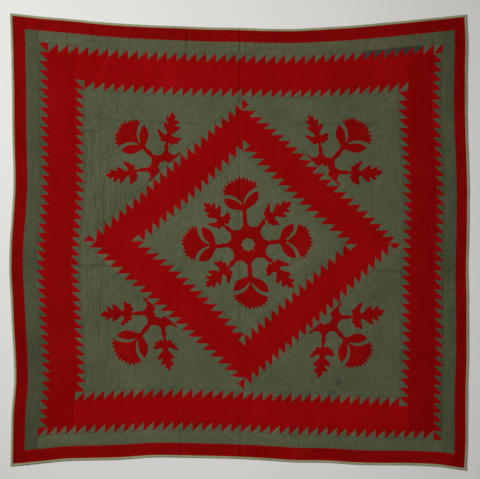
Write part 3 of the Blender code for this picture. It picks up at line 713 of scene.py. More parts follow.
def plainStrip(frameOf, nodeName, side, ring, kind, cloth, stepU, stepV, rows=relief["besideSeam"]):
    lines, unit = frameOf["lines"], frameOf["unit"]
    start, end = span(lines, side, ring, False)
    outer, inner = lines[side][ring], lines[side][ring + 1]
    long, wide = (end - start) * unit, abs(inner - outer) * unit
    us, vs = stops(long, stepU, relief["besideSeam"]), stops(wide, stepV, rows)
    u, v = (g.ravel() for g in np.meshgrid(us, vs, indexing="ij"))
    at = outer + (inner - outer) * v / wide
    cut = frameOf["place"](atRun(side, at, start + u / unit))
    n = len(vs)
    starts = [i * n + j for i in range(len(us) - 1) for j in range(n - 1)]
    faces = facesUp(cut, [(k, k + n, k + n + 1, k + 1) for k in starts])
    seam = np.minimum(np.minimum(u, long - u), np.minimum(v, wide - v))
    z = clothHeight(kind, cut, laid(cut), seam, u, v, wide)
    tint = np.full(len(faces), pieceTint(nodeName))
    piece = makeMesh(nodeName, cut, faces, z, np.column_stack([u, v]), seam, [0] * len(faces), tint,
                     [materials[cloth]], False, sewnLine(kind, laid(cut), u, v, wide, None))
    dress(piece, nodeName)

    def sewRow(pu, pv, name):
        # a quilting row on this strip, as points on its face
        atRow = outer + (inner - outer) * pv / wide
        cutRow = frameOf["place"](atRun(side, atRow, start + pu / unit))
        seamRow = np.minimum(np.minimum(pu, long - pu), np.minimum(pv, wide - pv))
        lie = laid(cutRow)
        height = clothHeight(kind, cutRow, lie, seamRow, pu, pv, wide)
        threads[name].append(np.column_stack([lie, height + sewing["lift"]]))

    end, step = sewing["end"], sewing["step"]
    run = np.arange(end, long - end, step)
    across = np.linspace(end, wide - end, max(4, int(wide / step)))
    if kind == "narrow":
        for share in relief["narrowRows"]:
            sewRow(run, np.full_like(run, share * wide), "narrowThread")
    if kind == "border":
        pitch = relief["borderPitch"]
        for k in range(1, int((long + 0.2 * wide) / pitch)):
            at = k * pitch - relief["borderSlant"] * across
            for _ in range(4):
                at = at + k * pitch - crossing(at, across)
            inside = (at > end) & (at < long - end)
            if inside.sum() > 2:
                sewRow(at[inside], across[inside], "borderThread")
    if kind == "band":
        pitch = relief["bandPitch"]
        half = int(0.5 * wide / pitch)
        for k in range(-half, half + 1):
            if abs(k * pitch) < 0.5 * wide - end:
                sewRow(run, np.full_like(run, 0.5 * wide + k * pitch), "bandThread")
        for k in range(1, int((long - end) / pitch) + 1):
            sewRow(np.full_like(across, k * pitch), across, "bandThread")


def pieceTint(name):
    # a piece's own dye with painted shade and light by side (darker at the left and right, lighter at the
    # top, bottom and centre), and a small difference that its name settles
    share = sum(ord(c) * (k + 3) for k, c in enumerate(name)) % 17 / 16.0
    return stripDyeAndShade.get(name, 0.0) + dyeSpread["piece"] * (share - 0.5)


# Toothed strips: a row of square units, each of two triangles
tooth = {
    "fineness": 7,  # rows of faces in a triangle
    "crowding": 1.2,  # over 1, they crowd towards its seams
    "joinCells": 173205.08,  # in a metre: points of two patches in one cell are one
    "joinShift": 0.31,
}


def trianglePatch(a, b, c, count):
    # points and faces of a triangle, closer together beside its seams
    points, number = [], {}
    for i in range(count + 1):
        for j in range(count + 1 - i):
            share = np.array([i, j, count - i - j], float) / count
            share = share ** tooth["crowding"]
            share = share / share.sum()
            number[(i, j)] = len(points)
            points.append(share[0] * a + share[1] * b + share[2] * c)
    faces = []
    for i in range(count):
        for j in range(count - i):
            faces.append((number[(i, j)], number[(i + 1, j)], number[(i, j + 1)]))
            if i + j < count - 1:
                faces.append((number[(i + 1, j)], number[(i + 1, j + 1)], number[(i, j + 1)]))
    return np.array(points), faces


def toothedStrip(frameOf, nodeName, side, ring, count, toothCloth, backCloth):
    lines, unit = frameOf["lines"], frameOf["unit"]
    low, high = neighbours(side)
    start, end = lines[low][ring + 1], lines[high][ring + 1]
    joins = [start + (end - start) * i / count for i in range(count + 1)]
    forward = side in ("left", "top")
    joins = joins + [lines[high][ring]] if forward else [lines[low][ring]] + joins
    outer, inner = lines[side][ring], lines[side][ring + 1]
    cloth = [materials[name] for name in (toothCloth, backCloth, "blueGrey", "yellowed")]
    blue = odd["blueGrey"]
    cuts, faces, slots, tints, seams = [], [], [], [], []
    total = 0
    for k, (r0, r1) in enumerate(zip(joins[:-1], joins[1:])):
        ahead, behind = (r1, r0) if forward else (r0, r1)
        corner = [np.array(p) for p in ((inner, ahead), (inner, behind), (outer, ahead), (outer, behind))]
        for half, (a, b, c) in enumerate(((0, 1, 2), (2, 1, 3))):
            points, patch = trianglePatch(corner[a], corner[b], corner[c], tooth["fineness"])
            tips = np.array([corner[a], corner[b], corner[c]])
            flat, outline = (frameOf["place"](atRun(side, p[:, 0], p[:, 1])) for p in (points, tips))
            where = laid(flat.mean(axis=0)[None, :])[0]
            which = half
            if half == 1 and nodeName == blue["row"] and blue["first"] <= k <= blue["last"]:
                which = 2
            for x, y, reach in odd["yellowed"]:
                if half == 1 and backCloth == "green" and math.hypot(where[0] - x, where[1] - y) < reach:
                    which = 3
            cuts.append(flat)
            patch = facesUp(flat, patch)
            faces += [tuple(v + total for v in f) for f in patch]
            slots += [which] * len(patch)
            share = ((k * 37 + half * 17 + len(nodeName) * 5) * 29) % 31 / 30.0
            shade = dyeSpread["patch"] * (share - 0.5)
            if (toothCloth, backCloth)[half] == "wideRed":
                shade = dyeSpread["red"] * shade
            else:
                # the strip's own fading, with painted shade at the left and right and painted light at the
                # top, bottom and centre
                shade = shade + stripDyeAndShade.get(nodeName, 0.0)
            tints += [shade] * len(patch)
            seams.append(outlineDistance(flat, outline))
            total += len(flat)
    cut = np.vstack(cuts)
    seam = np.concatenate(seams)
    # join the patches into one cloth
    grid = np.round(cut * tooth["joinCells"] + tooth["joinShift"]).astype(np.int64)
    keys, back = np.unique(grid, axis=0, return_inverse=True)
    back = back.ravel()
    merged = np.zeros((len(keys), 2))
    merged[back] = cut
    least = np.full(len(keys), 1e9)
    np.minimum.at(least, back, seam)
    faces = [tuple(int(back[v]) for v in f) for f in faces]
    final = laid(merged)
    long, wide = abs(joins[-1] - joins[0]) * unit, abs(inner - outer) * unit
    z = clothHeight("teeth", merged, final, least, merged[:, 0], merged[:, 1], wide)
    uv = merged if side in ("top", "bottom") else merged[:, ::-1]
    piece = makeMesh(nodeName, merged, faces, z, uv, least, slots, tints, cloth)
    dress(piece, nodeName)


bandStep = relief["bandPitch"] / 5
for side in sides:
    plainStrip(squareFrame, "binding_" + side, side, 0, "binding", "bindingGreen",
               0.006, 0.0022, (0.0004, 0.0013))
    plainStrip(squareFrame, "narrow_border_" + side, side, 1, "narrow", "narrowRed",
               0.0055, 0.0033)
    plainStrip(squareFrame, "green_border_" + side, side, 2, "border",
               "warmGreen" if side == "top" else "green", relief["borderPitch"] / 5, 0.0044)
    toothedStrip(squareFrame, "outer_teeth_" + side, side, 3, quilt["teeth"][side][0],
                 "wideRed", "green")
    plainStrip(squareFrame, "wide_border_" + side, side, 4, "band", "wideRed",
               bandStep, bandStep)
    toothedStrip(squareFrame, "inner_teeth_" + side, side, 5, quilt["teeth"][side][1],
                 "green", "wideRed")
print("borders pieced")

for side in sides:
    corner = cornerOf[side]
    toothedStrip(diamondFrame, "diamond_teeth_" + corner, side, 0, quilt["diamondTeeth"][0],
                 "wideRed", "green")
    plainStrip(diamondFrame, "diamond_band_" + corner, side, 1, "band", "wideRed",
               bandStep, bandStep)
    toothedStrip(diamondFrame, "diamond_inner_teeth_" + corner, side, 2, quilt["diamondTeeth"][1],
                 "green", "wideRed")
print("diamond pieced")

# Stitched-on wreath and sprays, in metres from a carnation's neck or a leaf's foot
motif = {
    "wreathNotch": 0.118,
    "sprayNotch": 0.100,
    "starTip": 0.0335,
    "starDip": 0.0255,
    "starPoints": 8,
    "fanRadius": 0.0900,
    "fanCentre": 0.0366,
    "fanTip": (0.090, 0.0775),
    "fanTeeth": 11,
    "fanTooth": 0.0160,
    "fanUneven": 0.0038,
    "fanVeins": (-34, -17, 0, 17, 34),  # degrees from straight out
    "fanVein": (0.012, 0.030, 0.088),  # their meeting point, and how far from it they start and end
    "notchMargin": 0.0085,
    "notchSteps": 4,
    "notchBulge": 1.09,
    "notchSoft": 0.2,
    "sprayArm": 0.105,
    "spraySeam": 0.02,  # in teeth, from the diamond's seam
    "leafLong": 0.155,
    "leafVein": (0.004, 0.138),
}
# right half of a carnation: outer side of its leaf, inner side of the leaf, and the fan's side
calyxOut = ((0.0090, -0.036), (0.0130, -0.023), (0.027, -0.017), (0.046, -0.010), (0.067, 0.003),
            (0.081, 0.024), (0.088, 0.053))
calyxIn = ((0.088, 0.053), (0.064, 0.051), (0.040, 0.040), (0.021, 0.024), (0.0085, 0.006))
fanSide = ((0.0050, 0.014), (0.016, 0.034), (0.032, 0.052), (0.056, 0.066), (0.093, 0.078))
# one side of an oak leaf, foot to tip: sideways, outwards; the two sides differ
leafWide = ((0.0050, 0.000), (0.0095, 0.007), (0.018, 0.000), (0.027, 0.001), (0.033, 0.009), (0.043, 0.008),
            (0.050, 0.016), (0.049, 0.025), (0.057, 0.030), (0.059, 0.039), (0.048, 0.044), (0.033, 0.041),
            (0.017, 0.045), (0.017, 0.052), (0.029, 0.064), (0.042, 0.078), (0.047, 0.089), (0.040, 0.095),
            (0.029, 0.091), (0.023, 0.093), (0.026, 0.101), (0.035, 0.111), (0.036, 0.120), (0.027, 0.121),
            (0.016, 0.117), (0.015, 0.126), (0.019, 0.136), (0.011, 0.139))
leafTall = ((0.0050, 0.000), (0.0100, 0.010), (0.022, 0.006), (0.032, 0.012), (0.032, 0.022), (0.042, 0.028),
            (0.044, 0.039), (0.053, 0.050), (0.053, 0.060), (0.043, 0.059), (0.030, 0.049), (0.017, 0.043),
            (0.0090, 0.047), (0.0100, 0.057), (0.020, 0.070), (0.030, 0.085), (0.033, 0.097), (0.026, 0.099),
            (0.016, 0.095), (0.016, 0.103), (0.024, 0.118), (0.026, 0.130), (0.017, 0.129), (0.011, 0.126),
            (0.010, 0.140))
# an oak leaf's side veins: side, start, end outwards, end sideways
leafVeins = ((1, 0.014, 0.034, 0.044), (-1, 0.022, 0.050, 0.044), (1, 0.058, 0.084, 0.034),
             (-1, 0.062, 0.090, 0.034), (1, 0.092, 0.115, 0.034), (-1, 0.098, 0.122, 0.034))
# arms, anticlockwise: kind, direction of the foot and of the tip, reach of the foot, size, sides swapped
wreathArms = (
    ("flower", 6.0, 3.0, 0.166, 0.90, 0),
    ("leaf", 56.0, 45.0, 0.142, 0.95, 0),
    ("flower", 97.0, 102.5, 0.184, 0.96, 0),
    ("leaf", 142.0, 136.0, 0.137, 1.00, 0),
    ("flower", 183.0, 175.0, 0.173, 1.00, 0),
    ("leaf", 230.0, 226.5, 0.140, 1.04, 0),
    ("flower", 272.5, 271.5, 0.170, 0.95, 0),
    ("leaf", 325.0, 316.0, 0.132, 1.00, 0),
)
wreathCentre = (0.0362, -0.0067)
# corner sprays: side of the diamond, place along it, and the arms
sprays = {
    "top_left": ("top", 0.2, (
        ("leaf", 85.5, 82.5, 0.113, 1.02, 0),
        ("flower", 138.0, 139.0, 0.158, 0.94, 0),
        ("leaf", 188.0, 189.0, 0.134, 0.99, 1))),
    "top_right": ("right", -0.1, (
        ("leaf", -4.5, -2.5, 0.124, 1.00, 0),
        ("flower", 48.0, 47.0, 0.170, 0.97, 0),
        ("leaf", 95.0, 102.0, 0.127, 1.00, 0))),
    "bottom_right": ("bottom", 0.3, (
        ("leaf", 266.0, 265.5, 0.134, 1.00, 1),
        ("flower", 313.0, 314.0, 0.156, 0.94, 0),
        ("leaf", 362.0, 366.0, 0.122, 1.06, 0))),
    "bottom_left": ("left", 0.45, (
        ("leaf", 183.0, 181.5, 0.124, 1.00, 0),
        ("flower", 229.0, 229.0, 0.165, 0.97, 0),
        ("leaf", 278.0, 277.5, 0.132, 1.00, 0))),
}


def smoothRun(points, steps=5):
    # a smooth open curve through a few points
    p = [np.array(q, float) for q in points]
    out = []
    for k in range(len(p) - 1):
        p0, p1, p2, p3 = p[max(k - 1, 0)], p[k], p[k + 1], p[min(k + 2, len(p) - 1)]
        for s in range(steps):
            t = s / steps
            out.append(0.5 * (2 * p1 + (p2 - p0) * t + (2 * p0 - 5 * p1 + 4 * p2 - p3) * t * t
                              + (3 * p1 - p0 - 3 * p2 + p3) * t ** 3))
    out.append(p[-1])
    return [tuple(q) for q in out]


def armPoint(centre, angle, sideways, outwards):
    return (centre[0] + outwards * math.cos(angle) + sideways * math.sin(angle),
            centre[1] + outwards * math.sin(angle) - sideways * math.cos(angle))


def flowerOutline(veins):
    # a carnation about its neck, anticlockwise from the right side of its stem
    m = motif
    right = smoothRun(calyxOut) + smoothRun(calyxIn)[1:] + smoothRun(fanSide)
    start = math.atan2(m["fanTip"][1] - m["fanCentre"], m["fanTip"][0])
    fan = []
    for i in range(2 * m["fanTeeth"] + 1):
        a = start + (math.pi - 2 * start) * i / (2 * m["fanTeeth"])
        uneven = m["fanUneven"] * math.sin(7.1 * i)
        radius = m["fanRadius"] + (m["fanTooth"] + uneven if i % 2 == 0 else 0.5 * uneven)
        fan.append((radius * math.cos(a), m["fanCentre"] + radius * math.sin(a)))
    foot, low, high = m["fanVein"]
    for spread in m["fanVeins"]:
        a = math.radians(spread)
        veins.append([(r * math.sin(a), foot + r * math.cos(a)) for r in (low, high)])
    veins += [((s * 0.012, -0.006), (s * 0.064, 0.036)) for s in (-1, 1)]
    return right[:-1] + fan + [(-s, o) for s, o in right[::-1]][1:]


def leafOutline(flip, veins):
    # an oak leaf about its foot, anticlockwise from the right side of its stem
    halves = (leafTall, leafWide) if flip else (leafWide, leafTall)
    right, left = (smoothRun(half + ((0.0, motif["leafLong"]),), 3) for half in halves)
    veins.append([(0.0, o) for o in motif["leafVein"]])
    for s, low, high, sideways in leafVeins:
        veins.append(((0.0, low), ((-s if flip else s) * sideways, high)))
    return right + [(-s, o) for s, o in left[-2::-1]]


def armOutline(centre, arm, veins):
    kind, foot, tip, reach, size, flip = arm
    base = armPoint(centre, math.radians(foot), 0.0, reach)
    own = []
    if kind == "flower":
        outline, angle = flowerOutline(own), math.radians(tip)
    else:
        end = armPoint(centre, math.radians(tip), 0.0, reach + size * motif["leafLong"])
        outline, angle = leafOutline(flip, own), math.atan2(end[1] - base[1], end[0] - base[0])
    placed = [[armPoint(base, angle, size * s, size * o) for s, o in row] for row in own + [outline]]
    veins += placed[:-1]
    return placed[-1]


def softened(points, share):
    # cuts the corners of an open line, ends kept
    cut = [points[0]]
    for (x0, y0), (x1, y1) in zip(points[:-1], points[1:]):
        cut.append((x0 + (x1 - x0) * share, y0 + (y1 - y0) * share))
        cut.append((x1 - (x1 - x0) * share, y1 - (y1 - y0) * share))
    return cut + [points[-1]]


def notch(centre, first, second, reach):
    # the hollow between two arms: half of a many-sided round with soft corners
    half = 0.5 * (second - first)
    radius = reach * math.sin(half) - motif["notchMargin"]
    last = motif["notchSteps"]
    points = []
    for i in range(last + 1):
        a = math.pi * i / last
        wide = radius * (1.0 if i in (0, last) else motif["notchBulge"])
        points.append(armPoint(centre, first + half, wide * math.cos(a), reach - wide * math.sin(a)))
    return softened(points, motif["notchSoft"])


def wreathLoops(veins):
    outline = []
    for i, arm in enumerate(wreathArms):
        angle = math.radians(arm[1])
        following = math.radians(wreathArms[(i + 1) % len(wreathArms)][1])
        following += 2.0 * math.pi if following < angle else 0.0
        outline += armOutline(wreathCentre, arm, veins)
        outline += notch(wreathCentre, angle, following, motif["wreathNotch"])
    star = []
    for i in range(2 * motif["starPoints"]):
        a = math.radians(4.0) + math.pi * i / motif["starPoints"]
        star.append(armPoint(wreathCentre, a, 0.0, motif["starTip"] if i % 2 == 0 else motif["starDip"]))
    return [outline, star[::-1]]


def sprayLoops(row, veins):
    # half a wreath whose straight side lies along the diamond's seam
    m = motif
    face, slide, arms = row
    reach = diamondFrame["lines"]["top"][0] + m["spraySeam"]
    at = reach if face in ("top", "right") else -reach
    local = [(s, at) if face in ("top", "bottom") else (at, s) for s in (slide, slide + 1.0)]
    seam = diamondFrame["place"](np.array(local))
    centre, run = tuple(seam[0]), seam[1] - seam[0]
    feet = [math.radians(arm[1]) for arm in arms]
    mid = feet[1]
    slope = math.atan2(run[1], run[0])
    if math.cos(slope - mid + 0.5 * math.pi) < 0:
        slope += math.pi
    while slope > mid:
        slope -= 2.0 * math.pi
    while slope < mid - math.pi:
        slope += 2.0 * math.pi
    outline = [armPoint(centre, slope, 0.0, m["sprayArm"])]
    starts = [slope] + feet
    for k, arm in enumerate(arms):
        outline += notch(centre, starts[k], feet[k], m["sprayNotch"])[(1 if k == 0 else 0):]
        outline += armOutline(centre, arm, veins)
    outline += notch(centre, feet[-1], slope + math.pi, m["sprayNotch"])[:-1]
    outline += [armPoint(centre, slope + math.pi, 0.0, m["sprayArm"])]
    for i in range(m["starPoints"] + 1):
        angle = slope + math.pi - math.pi * i / m["starPoints"]
        outline.append(armPoint(centre, angle, 0.0, m["starTip"] if i % 2 == 0 else m["starDip"]))
    return [outline]


def denser(outline, step):
    # the same outline with points no further apart than step
    out = []
    for (x0, y0), (x1, y1) in zip(outline, outline[1:] + outline[:1]):
        count = max(1, math.ceil(math.hypot(x1 - x0, y1 - y0) / step))
        out += [(x0 + (x1 - x0) * k / count, y0 + (y1 - y0) * k / count) for k in range(count)]
    return out


def signedArea(outline):
    p = np.array(outline)
    q = np.roll(p, -1, axis=0)
    return 0.5 * float(np.sum(p[:, 0] * q[:, 1] - q[:, 0] * p[:, 1]))


def fillLoops(loops, free):
    # triangles between the outlines, using the free points inside
    points = [p for loop in loops for p in loop] + [tuple(p) for p in free]
    edges, start = [], 0
    for loop in loops:
        edges += [(start + i, start + (i + 1) % len(loop)) for i in range(len(loop))]
        start += len(loop)
    result = delaunay_2d_cdt([Vector(p) for p in points], edges, [], 0, 1e-9, True)
    triangles, origin = result[2], result[3]
    number = [ids[0] if ids else -1 for ids in origin]
    if min(number) < 0:
        print("an outline crosses itself")
    place = np.array(points, float)
    triangles = [tuple(number[v] for v in tri) for tri in triangles]
    # regions are parted by the outlines, and each is judged by its largest triangle
    fence = {frozenset(e) for e in edges}
    beside = {}
    for k, tri in enumerate(triangles):
        for a, b in zip(tri, tri[1:] + tri[:1]):
            beside.setdefault(frozenset((a, b)), []).append(k)
    p = place[np.array(triangles)]
    turn = ((p[:, 1, 0] - p[:, 0, 0]) * (p[:, 2, 1] - p[:, 0, 1])
            - (p[:, 1, 1] - p[:, 0, 1]) * (p[:, 2, 0] - p[:, 0, 0]))
    region = [-1] * len(triangles)
    groups = []
    for first in range(len(triangles)):
        if region[first] >= 0:
            continue
        region[first] = len(groups)
        group, ahead = [], [first]
        while ahead:
            k = ahead.pop()
            group.append(k)
            tri = triangles[k]
            for a, b in zip(tri, tri[1:] + tri[:1]):
                pair = frozenset((a, b))
                if pair in fence:
                    continue
                for other in beside[pair]:
                    if region[other] < 0:
                        region[other] = len(groups)
                        ahead.append(other)
        groups.append(group)
    faces = []
    for group in groups:
        widest = group[int(np.argmax(np.abs(turn[group])))]
        centre = p[widest].mean(axis=0)[None, :]
        within = False
        for loop in loops:
            within ^= bool(insideOutline(centre, np.array(loop))[0])
        if within:
            faces += [triangles[k] for k in group]
    return place, faces


def insidePoints(loops, step, clear, shift=lambda grid: grid):
    # a grid of points inside the outlines, keeping clear of them
    rim = np.array(loops[0])
    low, high = rim.min(axis=0), rim.max(axis=0)
    xs = np.arange(math.floor(low[0] / step) * step, high[0], step)
    ys = np.arange(math.floor(low[1] / step) * step, high[1], step)
    grid = shift(np.array([(x, y) for x in xs for y in ys]))
    inside = np.zeros(len(grid), bool)
    for loop in loops:
        inside ^= insideOutline(grid, np.array(loop))
    grid = grid[inside]
    for loop in loops:
        grid = grid[outlineDistance(grid, np.array(loop)) > clear]
    return grid


def leftOf(loop):
    # unit steps to the left of a closed outline, at each of its points
    run = np.roll(loop, -1, axis=0) - np.roll(loop, 1, axis=0)
    run /= np.hypot(*run.T)[:, None]
    return np.column_stack([-run[:, 1], run[:, 0]])


def insetRow(rim, inset):
    # points a little way inside an anticlockwise outline
    p = np.array(rim)
    row = p + inset * leftOf(p)
    return row[outlineDistance(row, p) > 0.93 * inset]


motifVeins = {"wreath_centre": []}
motifLoops = {"wreath_centre": wreathLoops(motifVeins["wreath_centre"])}
for corner, row in sprays.items():
    motifVeins["spray_" + corner] = []
    motifLoops["spray_" + corner] = sprayLoops(row, motifVeins["spray_" + corner])


def motifDistance(cut, name):
    # distance outside a motif's edge, and 0 on it
    best = np.full(len(cut), 1e9)
    inside = np.zeros(len(cut), bool)
    for loop in motifLoops[name]:
        best = np.minimum(best, outlineDistance(cut, np.array(loop)))
        inside ^= insideOutline(cut, np.array(loop))
    best[inside] = 0.0
    return best


def anticlockwise(loop, turned=False):
    return loop[::-1] if (signedArea(loop) < 0) != turned else loop


# Point rows of the fields' and the stitched-on cloths' faces, in metres
faceRows = {
    "fieldInsets": (0.0014, 0.0036),
    "fieldClear": 0.0052,
    "rim": 0.0045,
    "step": 0.0038,
    "clear": 0.0016,
}


def fieldPiece(nodeName, outline, motifName):
    pitch, echo = relief["fieldPitch"], relief["echo"]
    edge = np.array(outline)
    rim = anticlockwise(denser(outline, pitch / 4))

    # grid rows follow the quilting, with two close rows beside the seams
    free = [insidePoints([rim], pitch / 4, faceRows["fieldClear"],
                         lambda g: np.column_stack([g[:, 0] + wander(*g.T), g[:, 1]]))]
    free += [insetRow(rim, inset) for inset in faceRows["fieldInsets"]]
    cut, faces = fillLoops([rim], np.vstack(free))
    final = laid(cut)
    seam = outlineDistance(cut, edge)
    motifs = motifDistance(cut, motifName)
    z = clothHeight("field", cut, final, seam, final[:, 1], final[:, 0], 1.0, motifs)
    tints = np.full(len(faces), pieceTint(nodeName))
    piece = makeMesh(nodeName, cut, faces, z, final[:, ::-1], seam, [0] * len(faces), tints,
                     [materials["green"]], False, sewnLine("field", final, None, None, 1.0, motifs))
    dress(piece, nodeName)

    # stitching down the rows, and once round the motif
    ys = np.arange(final[:, 1].min(), final[:, 1].max(), sewing["step"])
    first, last = final[:, 0].min() - 0.02, final[:, 0].max() + 0.02
    rows = []
    for k in range(math.ceil(first / pitch), math.floor(last / pitch) + 1):
        xs = np.full_like(ys, k * pitch)
        for _ in range(5):
            xs = k * pitch + wander(xs, ys)
        rows.append((np.column_stack([xs, ys]), True))
    for loop in motifLoops[motifName]:
        ring = np.array(anticlockwise(denser(loop, sewing["ringStep"]), True))
        rows.append((laid(ring + echo * leftOf(ring)), False))
    for row, plain in rows:
        back = unlaid(row)
        rowSeam = outlineDistance(back, edge)
        rowMotif = motifDistance(back, motifName)
        keep = insideOutline(back, edge) & (rowSeam > sewing["fieldEnd"])
        beside = np.abs(rowMotif - echo) < sewing["ringStray"]
        keep &= (rowMotif > echo + sewing["ringEnd"]) if plain else beside
        height = clothHeight("field", back, row, rowSeam, row[:, 1], row[:, 0], 1.0, rowMotif)
        points = np.column_stack([row, height + sewing["lift"]])
        for part in np.split(np.arange(len(row)), np.nonzero(~keep)[0]):
            part = part[keep[part]]
            if len(part) > 2:
                threads["fieldThread"].append(points[part])


def atDiamond(reach, *corners):
    return diamondFrame["place"](reach * np.array(corners, float))


reach = diamondFrame["lines"]["right"][3]
outline = [tuple(p) for p in atDiamond(reach, (-1, -1), (1, -1), (1, 1), (-1, 1))]
fieldPiece("centre_field", outline, "wreath_centre")
tips = dict(zip(("top", "bottom", "left", "right"),
                atDiamond(diamondFrame["lines"]["top"][0], (1, 1), (-1, -1), (-1, 1), (1, -1))))
for level in ("top", "bottom"):
    for side in ("left", "right"):
        edgeX, edgeY = squareFrame["lines"][side][6], squareFrame["lines"][level][6]
        seamX, seamY = quilt["diamondCentre"]
        outline = [(seamX, edgeY), (edgeX, edgeY), (edgeX, seamY), tuple(tips[side]), tuple(tips[level])]
        corner = level + "_" + side
        fieldPiece("corner_field_" + corner, outline, "spray_" + corner)
print("fields laid")


def applique(name, loops):
    # a thin cloth on its field, with its edge turned under and the quilting's veins
    rims = [anticlockwise(denser(loop, faceRows["rim"]), k > 0) for k, loop in enumerate(loops)]
    cut, faces = fillLoops(rims, insidePoints(rims, faceRows["step"], faceRows["clear"]))
    final = laid(cut)
    seam = np.min([outlineDistance(cut, np.array(rim)) for rim in rims], axis=0)
    far, near = np.ones(len(cut)), np.zeros(len(cut))
    z = clothHeight("field", cut, final, far, final[:, 1], final[:, 0], 1.0, near)
    z = z + relief["applique"] + relief["appliquePuff"] * (1.0 - np.exp(-(seam / 0.0040) ** 1.3))
    z = z - 0.0003 * np.exp(-seam / 0.0007)
    for (x0, y0), (x1, y1) in motifVeins[name]:
        away = segmentDistance(cut[:, 0], cut[:, 1], x0, y0, x1, y1)
        z = z + groove(away, relief["vein"], relief["veinHalf"]) * np.clip(seam / 0.004, 0, 1)
    tints = np.full(len(faces), pieceTint(name))
    piece = makeMesh(name, cut, faces, z, final[:, ::-1], seam, [0] * len(faces), tints,
                     [materials["narrowRed"]], True)
    dress(piece, name)


for name, loops in motifLoops.items():
    applique(name, loops)
print("wreath and sprays sewn on")

# Quilting stitches: from one to the next, their length and their thickness
stitch = {"Pitch": 0.0070, "Length": 0.0034, "Thread": 0.0005}


def stitchTree(material):
    # a short thread at even steps along each row
    tree = bpy.data.node_groups.new("quiltingStitches", "GeometryNodeTree")
    face = tree.interface
    face.new_socket("Geometry", in_out="INPUT", socket_type="NodeSocketGeometry")
    for label, value in stitch.items():
        made = face.new_socket(label, in_out="INPUT", socket_type="NodeSocketFloat")
        made.default_value = value
    face.new_socket("Geometry", in_out="OUTPUT", socket_type="NodeSocketGeometry")
    link = tree.links.new
    start = node(tree, "NodeGroupInput", (-900, 0))
    end = node(tree, "NodeGroupOutput", (900, 0))
    rows = node(tree, "GeometryNodeMeshToCurve", (-700, 100))
    link(start.outputs["Geometry"], rows.inputs["Mesh"])
    spots = node(tree, "GeometryNodeCurveToPoints", (-500, 100))
    spots.mode = "LENGTH"
    link(rows.outputs["Curve"], spots.inputs["Curve"])
    link(start.outputs["Pitch"], spots.inputs["Length"])
    bead = node(tree, "GeometryNodeMeshUVSphere", (-500, -300))
    bead.inputs["Segments"].default_value = 4
    bead.inputs["Rings"].default_value = 2
    bead.inputs["Radius"].default_value = 0.5
    size = node(tree, "ShaderNodeCombineXYZ", (-700, -500))
    for label, axis in (("Thread", "X"), ("Thread", "Y"), ("Length", "Z")):
        link(start.outputs[label], size.inputs[axis])
    shaped = node(tree, "GeometryNodeTransform", (-300, -300))
    link(bead.outputs["Mesh"], shaped.inputs["Geometry"])
    link(size.outputs["Vector"], shaped.inputs["Scale"])
    turn = node(tree, "FunctionNodeAlignRotationToVector", (-300, -60))
    turn.axis = "Z"
    link(spots.outputs["Tangent"], turn.inputs["Vector"])
    placed = node(tree, "GeometryNodeInstanceOnPoints", (-60, 60))
    link(spots.outputs["Points"], placed.inputs["Points"])
    link(shaped.outputs["Geometry"], placed.inputs["Instance"])
    link(turn.outputs["Rotation"], placed.inputs["Rotation"])
    real = node(tree, "GeometryNodeRealizeInstances", (180, 60))
    link(placed.outputs["Instances"], real.inputs["Geometry"])
    painted = node(tree, "GeometryNodeSetMaterial", (420, 60))
    painted.inputs["Material"].default_value = material
    link(real.outputs["Geometry"], painted.inputs["Geometry"])
    link(painted.outputs["Geometry"], end.inputs["Geometry"])
    return tree


def speckled(name, colour, least, most, scale, roughness, gloss):
    # one colour, with soft speckles from least to most of it
    material, tree, shader = newMaterial(name, roughness, gloss)
    place = node(tree, "ShaderNodeTexCoord", (-800, 0))
    speckles = node(tree, "ShaderNodeTexNoise", (-600, 0), Scale=scale, Detail=2.0)
    ramp = node(tree, "ShaderNodeValToRGB", (-400, 0))
    for element, share in zip(ramp.color_ramp.elements, (least, most)):
        element.color = (*[share * c for c in colour], 1.0)
    tree.links.new(place.outputs["Object"], speckles.inputs["Vector"])
    tree.links.new(speckles.outputs["Fac"], ramp.inputs["Fac"])
    tree.links.new(ramp.outputs["Color"], shader.inputs["Base Color"])
    return material


threadCotton = {name: speckled(name, colour, 0.7, 1.3, 60.0, 0.85, 0.05) for name, colour in (
    ("redThread", (0.16, 0.002, 0.002)), ("greenThread", (0.060, 0.065, 0.038)))}
scene = bpy.context.scene
for name, rows in threads.items():
    points = np.vstack(rows)
    edges, first = [], 0
    for row in rows:
        edges += [(first + k, first + k + 1) for k in range(len(row) - 1)]
        first += len(row)
    guide = bpy.data.meshes.new(name + "Rows")
    guide.from_pydata(points.tolist(), edges, [])
    holder = bpy.data.objects.new(name + "Rows", guide)
    scene.collection.objects.link(holder)
    red = name in ("narrowThread", "bandThread")
    modifier = holder.modifiers.new("stitches", "NODES")
    modifier.node_group = stitchTree(threadCotton["redThread" if red else "greenThread"])
    for item in modifier.node_group.interface.items_tree:
        if item.in_out == "INPUT" and item.name in stitch:
            modifier[item.identifier] = stitch[item.name]
    graph = bpy.context.evaluated_depsgraph_get()
    mesh = bpy.data.meshes.new_from_object(holder.evaluated_get(graph))
    bpy.data.objects.remove(holder, do_unlink=True)
    mesh.name = name
    stitches = bpy.data.objects.new(name, mesh)
    scene.collection.objects.link(stitches)
    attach(stitches, "root")
    print(name, len(mesh.polygons), "faces")

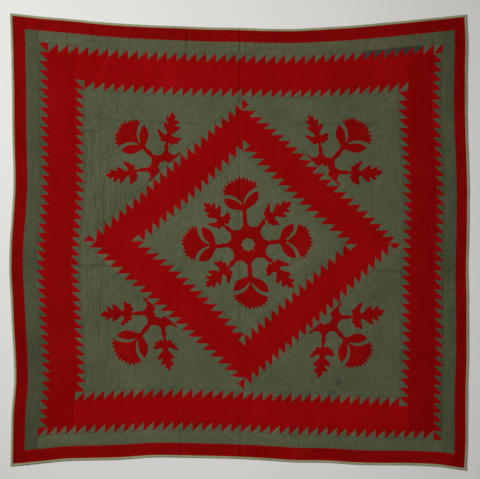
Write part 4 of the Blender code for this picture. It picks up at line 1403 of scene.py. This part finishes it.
# Floor, light and camera
stage = {
    "floor": (0.62, 0.61, 0.59),
    "floorSize": 14.0,
    "floorDrop": 0.0002,
    "lens": 90.0,
    "sensor": 36.0,
    "wide": 2.227,  # what the camera sees from side to side, in metres
    "centre": (0.00288, 0.01132),
    "face": 0.003,  # height of the quilt's face
    "sky": 0.13,
}
lamps = {  # spread in degrees
    "overheadLight": {"place": (0.08, -0.15, 2.4), "target": (0.08, -0.15, 0.0), "size": (1.0, 3.4),
                      "power": 37.0, "spread": 180},
    "keyLight": {"place": (-5.6, 3.2, 3.2), "target": (0.1, 0.0, 0.0), "size": (1.4, 1.4),
                 "power": 256.0, "spread": 120},
}
bpy.ops.mesh.primitive_plane_add(size=stage["floorSize"], location=(0, 0, -stage["floorDrop"]))
floor = bpy.context.object
floor.name = "floor"
floor.data.materials.append(speckled("paleFloor", stage["floor"], 0.97, 1.02, 3.0, 0.8, 0.2))

world = bpy.data.worlds.new("studio")
scene.world = world
world.use_nodes = True
sky = world.node_tree.nodes["Background"]
sky.inputs["Color"].default_value = (1.0, 1.0, 1.0, 1.0)
sky.inputs["Strength"].default_value = stage["sky"]

for name, lamp in lamps.items():
    data = bpy.data.lights.new(name, "AREA")
    data.shape = "RECTANGLE"
    data.size, data.size_y = lamp["size"]
    data.energy = lamp["power"]
    data.spread = math.radians(lamp["spread"])
    light = bpy.data.objects.new(name, data)
    scene.collection.objects.link(light)
    light.location = lamp["place"]
    aim = Vector(lamp["target"]) - Vector(lamp["place"])
    light.rotation_euler = aim.to_track_quat("-Z", "Y").to_euler()
    light.visible_camera = False

camera = bpy.data.cameras.new("camera")
camera.lens = stage["lens"]
camera.sensor_width = stage["sensor"]
camera.clip_end = 50.0
viewer = bpy.data.objects.new("camera", camera)
scene.collection.objects.link(viewer)
viewer.location = (*stage["centre"], stage["lens"] * stage["wide"] / stage["sensor"] + stage["face"])
scene.camera = viewer
scene.view_settings.view_transform = "Standard"
scene.view_settings.look = "None"
print("stage set")
